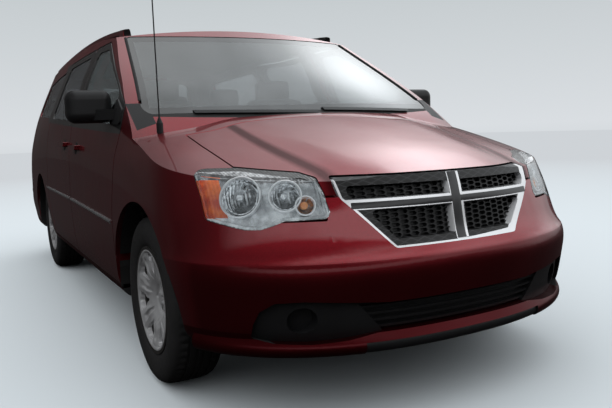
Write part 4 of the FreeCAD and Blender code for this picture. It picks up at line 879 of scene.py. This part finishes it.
# Roof rails
# A black moulded sleeve covers each rail that stands on the roof above the doors, and a shoe
# covers each of its three feet.
rail_tops = surface_of("side_frame_left", "side_frame_right")
rail_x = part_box("roof_panel")[1][0] + 0.0205
rail_start = station(0.375)
rail_end = station(1.20)
rail_middle = (rail_start + rail_end) / 2
foot_reach = 0.102
end_inset = 0.001
end_reach = Vector((0, 0.005, 0))
above = body_height + 0.5
sleeve_section = [(-0.0183, -0.026), (-0.0183, 0.0), (-0.0115, 0.004), (0.0115, 0.004), (0.0183, 0.0),
                  (0.0183, -0.026)]
shoe_section = [(-0.0205, -0.0375), (-0.0192, -0.006), (-0.0125, 0.0048), (0.0125, 0.0048), (0.0192, -0.006),
                (0.0205, -0.0375)]
covers = [("sleeve", rail_start, rail_end, 60, sleeve_section),
          ("shoe_front", rail_start, rail_start + foot_reach, 10, shoe_section),
          ("shoe_middle", rail_middle, rail_middle + foot_reach, 10, shoe_section),
          ("shoe_rear", rail_end - foot_reach, rail_end, 10, shoe_section)]
for side_name, side in (("left", 1), ("right", -1)):
    for cover, low, high, steps, section in covers:
        run = high - low - 2 * end_inset
        starts = [Vector((side * rail_x, low + end_inset + run * step / steps, above))
                  for step in range(steps + 1)]
        path = cast_path(rail_tops, starts, Vector((0, 0, -1)))
        first = (path[0][0] - end_reach, path[0][1])
        last = (path[-1][0] + end_reach, path[-1][1])
        name = "roof_rail_" + cover + "_" + side_name
        add(name, ribbon(name, [first] + path + [last], section), black_plastic)

# Dashboard
# A soft-skinned moulding with a hood over the instruments, in place of the plain CAD block.
dash_low, dash_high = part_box("dashboard")
dash_trim, dash_shader, on_dash = mottled("dash_trim", 12.0, (0.045, 0.044, 0.042, 1),
                                          (0.060, 0.058, 0.056, 1), 300.0, 0.55, 0.2,
                                          Specular_IOR_Level=0.3)
feed(dash_shader, "Normal", bump(on_dash, noise(on_dash, 700.0), 0.3, 0.0004))
dash_points = []
dash_steps = 48
dash_depth = dash_high[1] - dash_low[1]
dash_rise = dash_high[2] - dash_low[2]
dash_drop = 0.02
hood_middle = 0.405
hood_half = 0.17
hood_rise = 0.035
hood_front = 0.25
hood_back = 0.75
hood_foot = 0.7
end_shrink = 0.5
end_power = 12
dash_profile_shares = [(0.02, 0.05), (0.02, 0.80), (0.10, 0.93), (0.30, 0.99), (0.52, 1.0), (0.66, 0.94),
                       (0.72, 0.80), (0.70, 0.62), (0.80, 0.50), (0.86, 0.30), (0.70, 0.10)]
for step in range(dash_steps + 1):
    share = step / dash_steps * 2 - 1
    x = share * dash_high[0]
    hood = math.exp(-((x - hood_middle) / hood_half) ** 4) * hood_rise
    edge = 1 - end_shrink * abs(share) ** end_power
    for depth, rise in dash_profile_shares:
        lift = hood if hood_front < depth < hood_back and rise > hood_foot else 0.0
        level = rise * edge + 0.5 * (1 - edge)
        dash_points.append((x, dash_low[1] + depth * edge * dash_depth,
                            dash_low[2] + level * dash_rise + lift - dash_drop))
dash_count = len(dash_profile_shares)
dash_faces = []
for step in range(dash_steps):
    here = step * dash_count
    after = here + dash_count
    for index in range(dash_count):
        following = (index + 1) % dash_count
        dash_faces.append((here + index, after + index, after + following, here + following))
dash_faces.append(list(range(dash_count)))
dash_faces.append([dash_steps * dash_count + index for index in range(dash_count)][::-1])
dash_mesh = bpy.data.meshes.new("dash_moulding")
dash_mesh.from_pydata(dash_points, [], dash_faces)
soften(dash_mesh, 50)
dash = add("dash_moulding", dash_mesh, dash_trim)
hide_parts("dashboard")

# Seats
# Foam cushions and backs with side bolsters, covered in grey cloth with sewn seams, and a
# head restraint on each. They replace the plain CAD seats and keep their places.
cloth, cloth_shader, on_cloth = finish("seat_cloth", Sheen_Weight=0.3)
weave = on_cloth.node("ShaderNodeTexVoronoi", None, {"Vector": on_cloth, "Scale": 700.0})
cloth_tone = blend(noise(on_cloth, 40.0), (0.075, 0.075, 0.078, 1), (0.12, 0.12, 0.122, 1))
feed(cloth_shader, "Base Color", cloth_tone)
feed(cloth_shader, "Roughness", weave * 0.3 + 0.7)
feed(cloth_shader, "Normal", bump(on_cloth, weave, 0.4, 0.0008))
pad_turns = 72
pad_rows = 36
outline_power = 0.35
depth_power = 0.55
end_depth_power = 0.45
crown_fall = 0.25
bolster_zone = (0.55, 0.85)
seam_place = 0.56
seam_half = 0.03
seam_sink = 0.05
seam_level = 0.3


def squared(value, power):
    """A sine or cosine made fuller, so that a ball turns into a rounded block."""
    return math.copysign(abs(value) ** power, value)


def pad(name, place, half, lean, bolster):
    """A crowned pad: a rounded block with raised sides and a seam groove round its middle panel."""
    points = []
    faces = []
    for row in range(pad_rows + 1):
        swing = math.pi * row / pad_rows - math.pi / 2
        for column in range(pad_turns):
            turn = 2 * math.pi * column / pad_turns
            x = squared(math.cos(turn), outline_power) * abs(math.cos(swing)) ** outline_power
            y = squared(math.sin(swing), outline_power)
            z = squared(math.sin(turn), depth_power) * abs(math.cos(swing)) ** end_depth_power
            crown = 1 - crown_fall * (x * x + y * y) * (1 if z > 0 else 0)
            raised = bolster * smooth_step(bolster_zone, abs(x)) if z > 0 else 0
            from_seam = (abs(x) - seam_place) / seam_half
            seam = seam_sink * math.exp(-from_seam ** 2) if z > seam_level else 0
            points.append(Vector((x * half[0], y * half[1], z * half[2] * (crown + raised - seam))))
    for row in range(pad_rows):
        here = row * pad_turns
        after = here + pad_turns
        for column in range(pad_turns):
            following = (column + 1) % pad_turns
            faces.append((here + column, here + following, after + following, after + column))
    mesh = bpy.data.meshes.new(name)
    mesh.from_pydata(points, [], faces)
    mesh.transform(Matrix.Translation(place) @ Matrix.Rotation(lean, 4, "X"))
    soften(mesh, 70)
    piece = add(name, mesh, cloth)
    return piece


front_low, front_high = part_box("front_seats")
rear_low, rear_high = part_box("rear_seats")
cushion_level = front_low[2] + 0.238
seat_x = front_high[0] - 0.26
bench_depth = 0.52
back_lean = math.pi / 2 + 0.06
cushion_place = Vector((0, 0.245, cushion_level))
back_place = Vector((0, 0.455, cushion_level + 0.335))
head_place = Vector((0, 0.470, cushion_level + 0.725))
cushion_half = (0.25, 0.085)
back_half = (0.34, 0.075)
head_half = (0.125, 0.085, 0.05)
bench_heads = (-0.30, 0.30)
seat_rows = {"front": ("front_seats", front_low[1], (seat_x, -seat_x), 0.25),
             "middle": ("rear_seats", rear_low[1], (seat_x, -seat_x), 0.25),
             "bench": ("rear_seats", rear_high[1] - bench_depth, (0.0,), 0.55)}
for row_name, (seat_node, row_y, seats, half) in seat_rows.items():
    for number, x in enumerate(seats):
        name = row_name + "_" + str(number)
        seat_place = Vector((x, row_y, 0))
        cushion = pad("cushion_" + name, seat_place + cushion_place, (half, *cushion_half), 0.04, 0.22)
        pad("backrest_" + name, seat_place + back_place, (half * 0.96, *back_half), back_lean, 0.25)
        heads = bench_heads if row_name == "bench" else (0,)
        for head_number, head_x in enumerate(heads):
            above_back = seat_place + head_place + Vector((head_x, 0, 0))
            pad("head_restraint_" + name + "_" + str(head_number), above_back, head_half, back_lean, 0.0)
        if number == 0:
            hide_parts(seat_node)

# Tail lamps
# Upright red moulded lenses with a level clear band, wrapped round the rear corners
# beside the tailgate.
red_lens, lens_shader, on_red = finish("red_lens", Coat_Weight=1.0)
red_z = on_red.split()[2]
clear_band = (red_z > height(0.585)) * (red_z < height(0.625))
red_tone = blend(noise(on_red, 3.0), (0.30, 0.006, 0.008, 1), (0.24, 0.004, 0.006, 1))
feed(lens_shader, "Base Color", blend(clear_band, red_tone, (0.55, 0.52, 0.50, 1)))
feed(lens_shader, "Roughness", noise(on_red, 40.0) * 0.1 + 0.06)
feed(lens_shader, "Normal", bump(on_red, flutes(on_red, 40.0, "Z"), 0.3, 0.001))
dress(red_lens, "tail_lamps")
